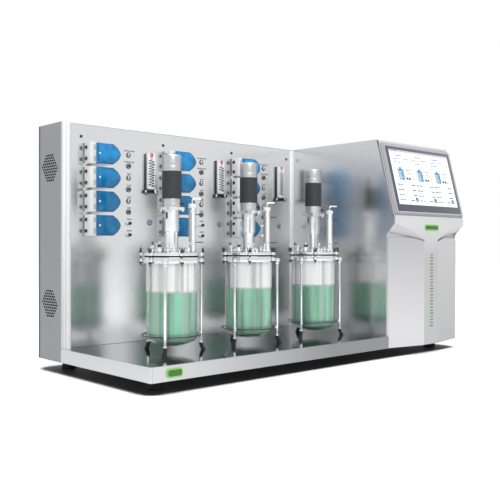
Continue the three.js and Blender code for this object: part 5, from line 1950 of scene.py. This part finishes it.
class BIOREACTOR_OT_stage(bpy.types.Operator):
    """Camera, pale floor, room light and soft lamps"""

    bl_idname = "bioreactor.stage"
    bl_label = "Stage"

    def execute(self, context):
        stage = context.scene.bioreactor_stage
        self.camera(stage)
        self.floor(stage)
        self.room(stage)
        self.lamps(stage)
        context.scene.view_settings.view_transform = "Standard"
        return {"FINISHED"}

    def camera(self, stage):
        lens = bpy.data.cameras.new("camera")
        lens.lens = stage.focal
        lens.sensor_width = 36
        lens.clip_start, lens.clip_end = 0.05, 60
        camera = linked("camera", lens)
        level = math.cos(stage.tip)
        forward = Vector(
            (math.sin(stage.aim) * level, math.cos(stage.aim) * level, math.sin(stage.tip)))
        roll = Matrix.Rotation(CAMERA_ROLL, 4, "Z")
        turn = forward.to_track_quat("-Z", "Y").to_matrix().to_4x4() @ roll
        camera.matrix_world = Matrix.Translation(Vector(stage.eye)) @ turn
        bpy.context.scene.camera = camera

    def floor(self, stage):
        """A white floor with a painted close shadow under the object, from ambient occlusion."""
        recipe = Recipe("floor", stage.floor_colour, 0.6)
        # painted shadow: the floor's colour and glow darken by ambient occlusion near the object
        near = recipe.node(
            "ShaderNodeAmbientOcclusion", {"Distance": stage.shadow_reach},
            samples=16).outputs["AO"]
        open_air = recipe.between(near, 0, 1, (0.68, 0.78))
        recipe.tint(open_air, 0.012)
        lit = recipe.between(open_air, 0.006, 0.5, (0, 1))
        seen = stage_rays(recipe.tree)
        glow = recipe.math("MULTIPLY", lit, seen)
        recipe.shader.inputs["Emission Color"].default_value = WHITE
        recipe.drive("Emission Strength", glow)
        shape = bmesh.new()
        bmesh.ops.create_grid(shape, x_segments=4, y_segments=4, size=14)
        bmesh.ops.translate(shape, verts=shape.verts, vec=(0, 4, GROUND))
        floor = scratch("floor", shape)
        floor.data.materials.append(recipe.finish)

    def room(self, stage):
        """Even light; white where the camera, gloss and glass look past the floor."""
        world = bpy.data.worlds.new("room")
        world.use_nodes = True
        bpy.context.scene.world = world
        tree = world.node_tree
        background = tree.nodes["Background"]
        background.inputs["Color"].default_value = WHITE
        share = add_node(tree, "ShaderNodeMapRange", {0: stage_rays(tree), 3: stage.sky}, {})
        tree.links.new(share.outputs[0], background.inputs["Strength"])

    def lamps(self, stage):
        def lamp(name, power, size, place, aim):
            light = bpy.data.lights.new(name, "AREA")
            light.energy = power
            light.shape = "RECTANGLE"
            light.size, light.size_y = size
            item = linked(name, light)
            item.location = place
            item.rotation_euler = (Vector(aim) - Vector(place)).to_track_quat("-Z", "Y").to_euler()

        lamp("main_light", stage.key, (2.6, 2.2), (-1.5, -2.8, 2.5), (0, 0, 0.45))
        lamp("top_light", stage.key * 0.55, (3.0, 2.0), (0, -0.4, 3.2), (0, 0, 0.3))


class BIOREACTOR_PT_panel(bpy.types.Panel):
    """Sizes and colours, and one button for each group of pieces"""

    bl_label = "Bench Bioreactor"
    bl_idname = "BIOREACTOR_PT_panel"
    bl_space_type = "VIEW_3D"
    bl_region_type = "UI"
    bl_category = "Bioreactor"

    def draw(self, context):
        layout = self.layout
        for name, group in SETTINGS.items():
            box = layout.box()
            box.label(text=group.__doc__)
            values = getattr(context.scene, name)
            for setting in group.__annotations__:
                box.prop(values, setting)
        for operator in OPERATORS:
            layout.operator(operator.bl_idname)


SETTINGS = {
    "bioreactor_look": BioreactorLook,
    "bioreactor_cabinet": BioreactorCabinet,
    "bioreactor_pumps": BioreactorPumps,
    "bioreactor_vessels": BioreactorVessels,
    "bioreactor_console": BioreactorConsole,
    "bioreactor_stage": BioreactorStage,
}
OPERATORS = (
    BIOREACTOR_OT_finishes,
    BIOREACTOR_OT_stage,
    BIOREACTOR_OT_cabinet,
    BIOREACTOR_OT_console,
    BIOREACTOR_OT_screen,
    BIOREACTOR_OT_pumps,
    BIOREACTOR_OT_rotors,
    BIOREACTOR_OT_meters,
    BIOREACTOR_OT_fittings,
    BIOREACTOR_OT_stands,
    BIOREACTOR_OT_glass,
    BIOREACTOR_OT_lids,
    BIOREACTOR_OT_drives,
    BIOREACTOR_OT_agitators,
    BIOREACTOR_OT_condensers,
    BIOREACTOR_OT_rear,
)


def register():
    for group in SETTINGS.values():
        bpy.utils.register_class(group)
    for operator in OPERATORS:
        bpy.utils.register_class(operator)
    bpy.utils.register_class(BIOREACTOR_PT_panel)
    for name, group in SETTINGS.items():
        setattr(bpy.types.Scene, name, PointerProperty(type=group))


def unregister():
    for name in SETTINGS:
        delattr(bpy.types.Scene, name)
    bpy.utils.unregister_class(BIOREACTOR_PT_panel)
    for operator in reversed(OPERATORS):
        bpy.utils.unregister_class(operator)
    for group in reversed(SETTINGS.values()):
        bpy.utils.unregister_class(group)


def main():
    register()
    for operator in OPERATORS:
        group, name = operator.bl_idname.split(".")
        getattr(getattr(bpy.ops, group), name)()


if __name__ == "__main__":
    main()
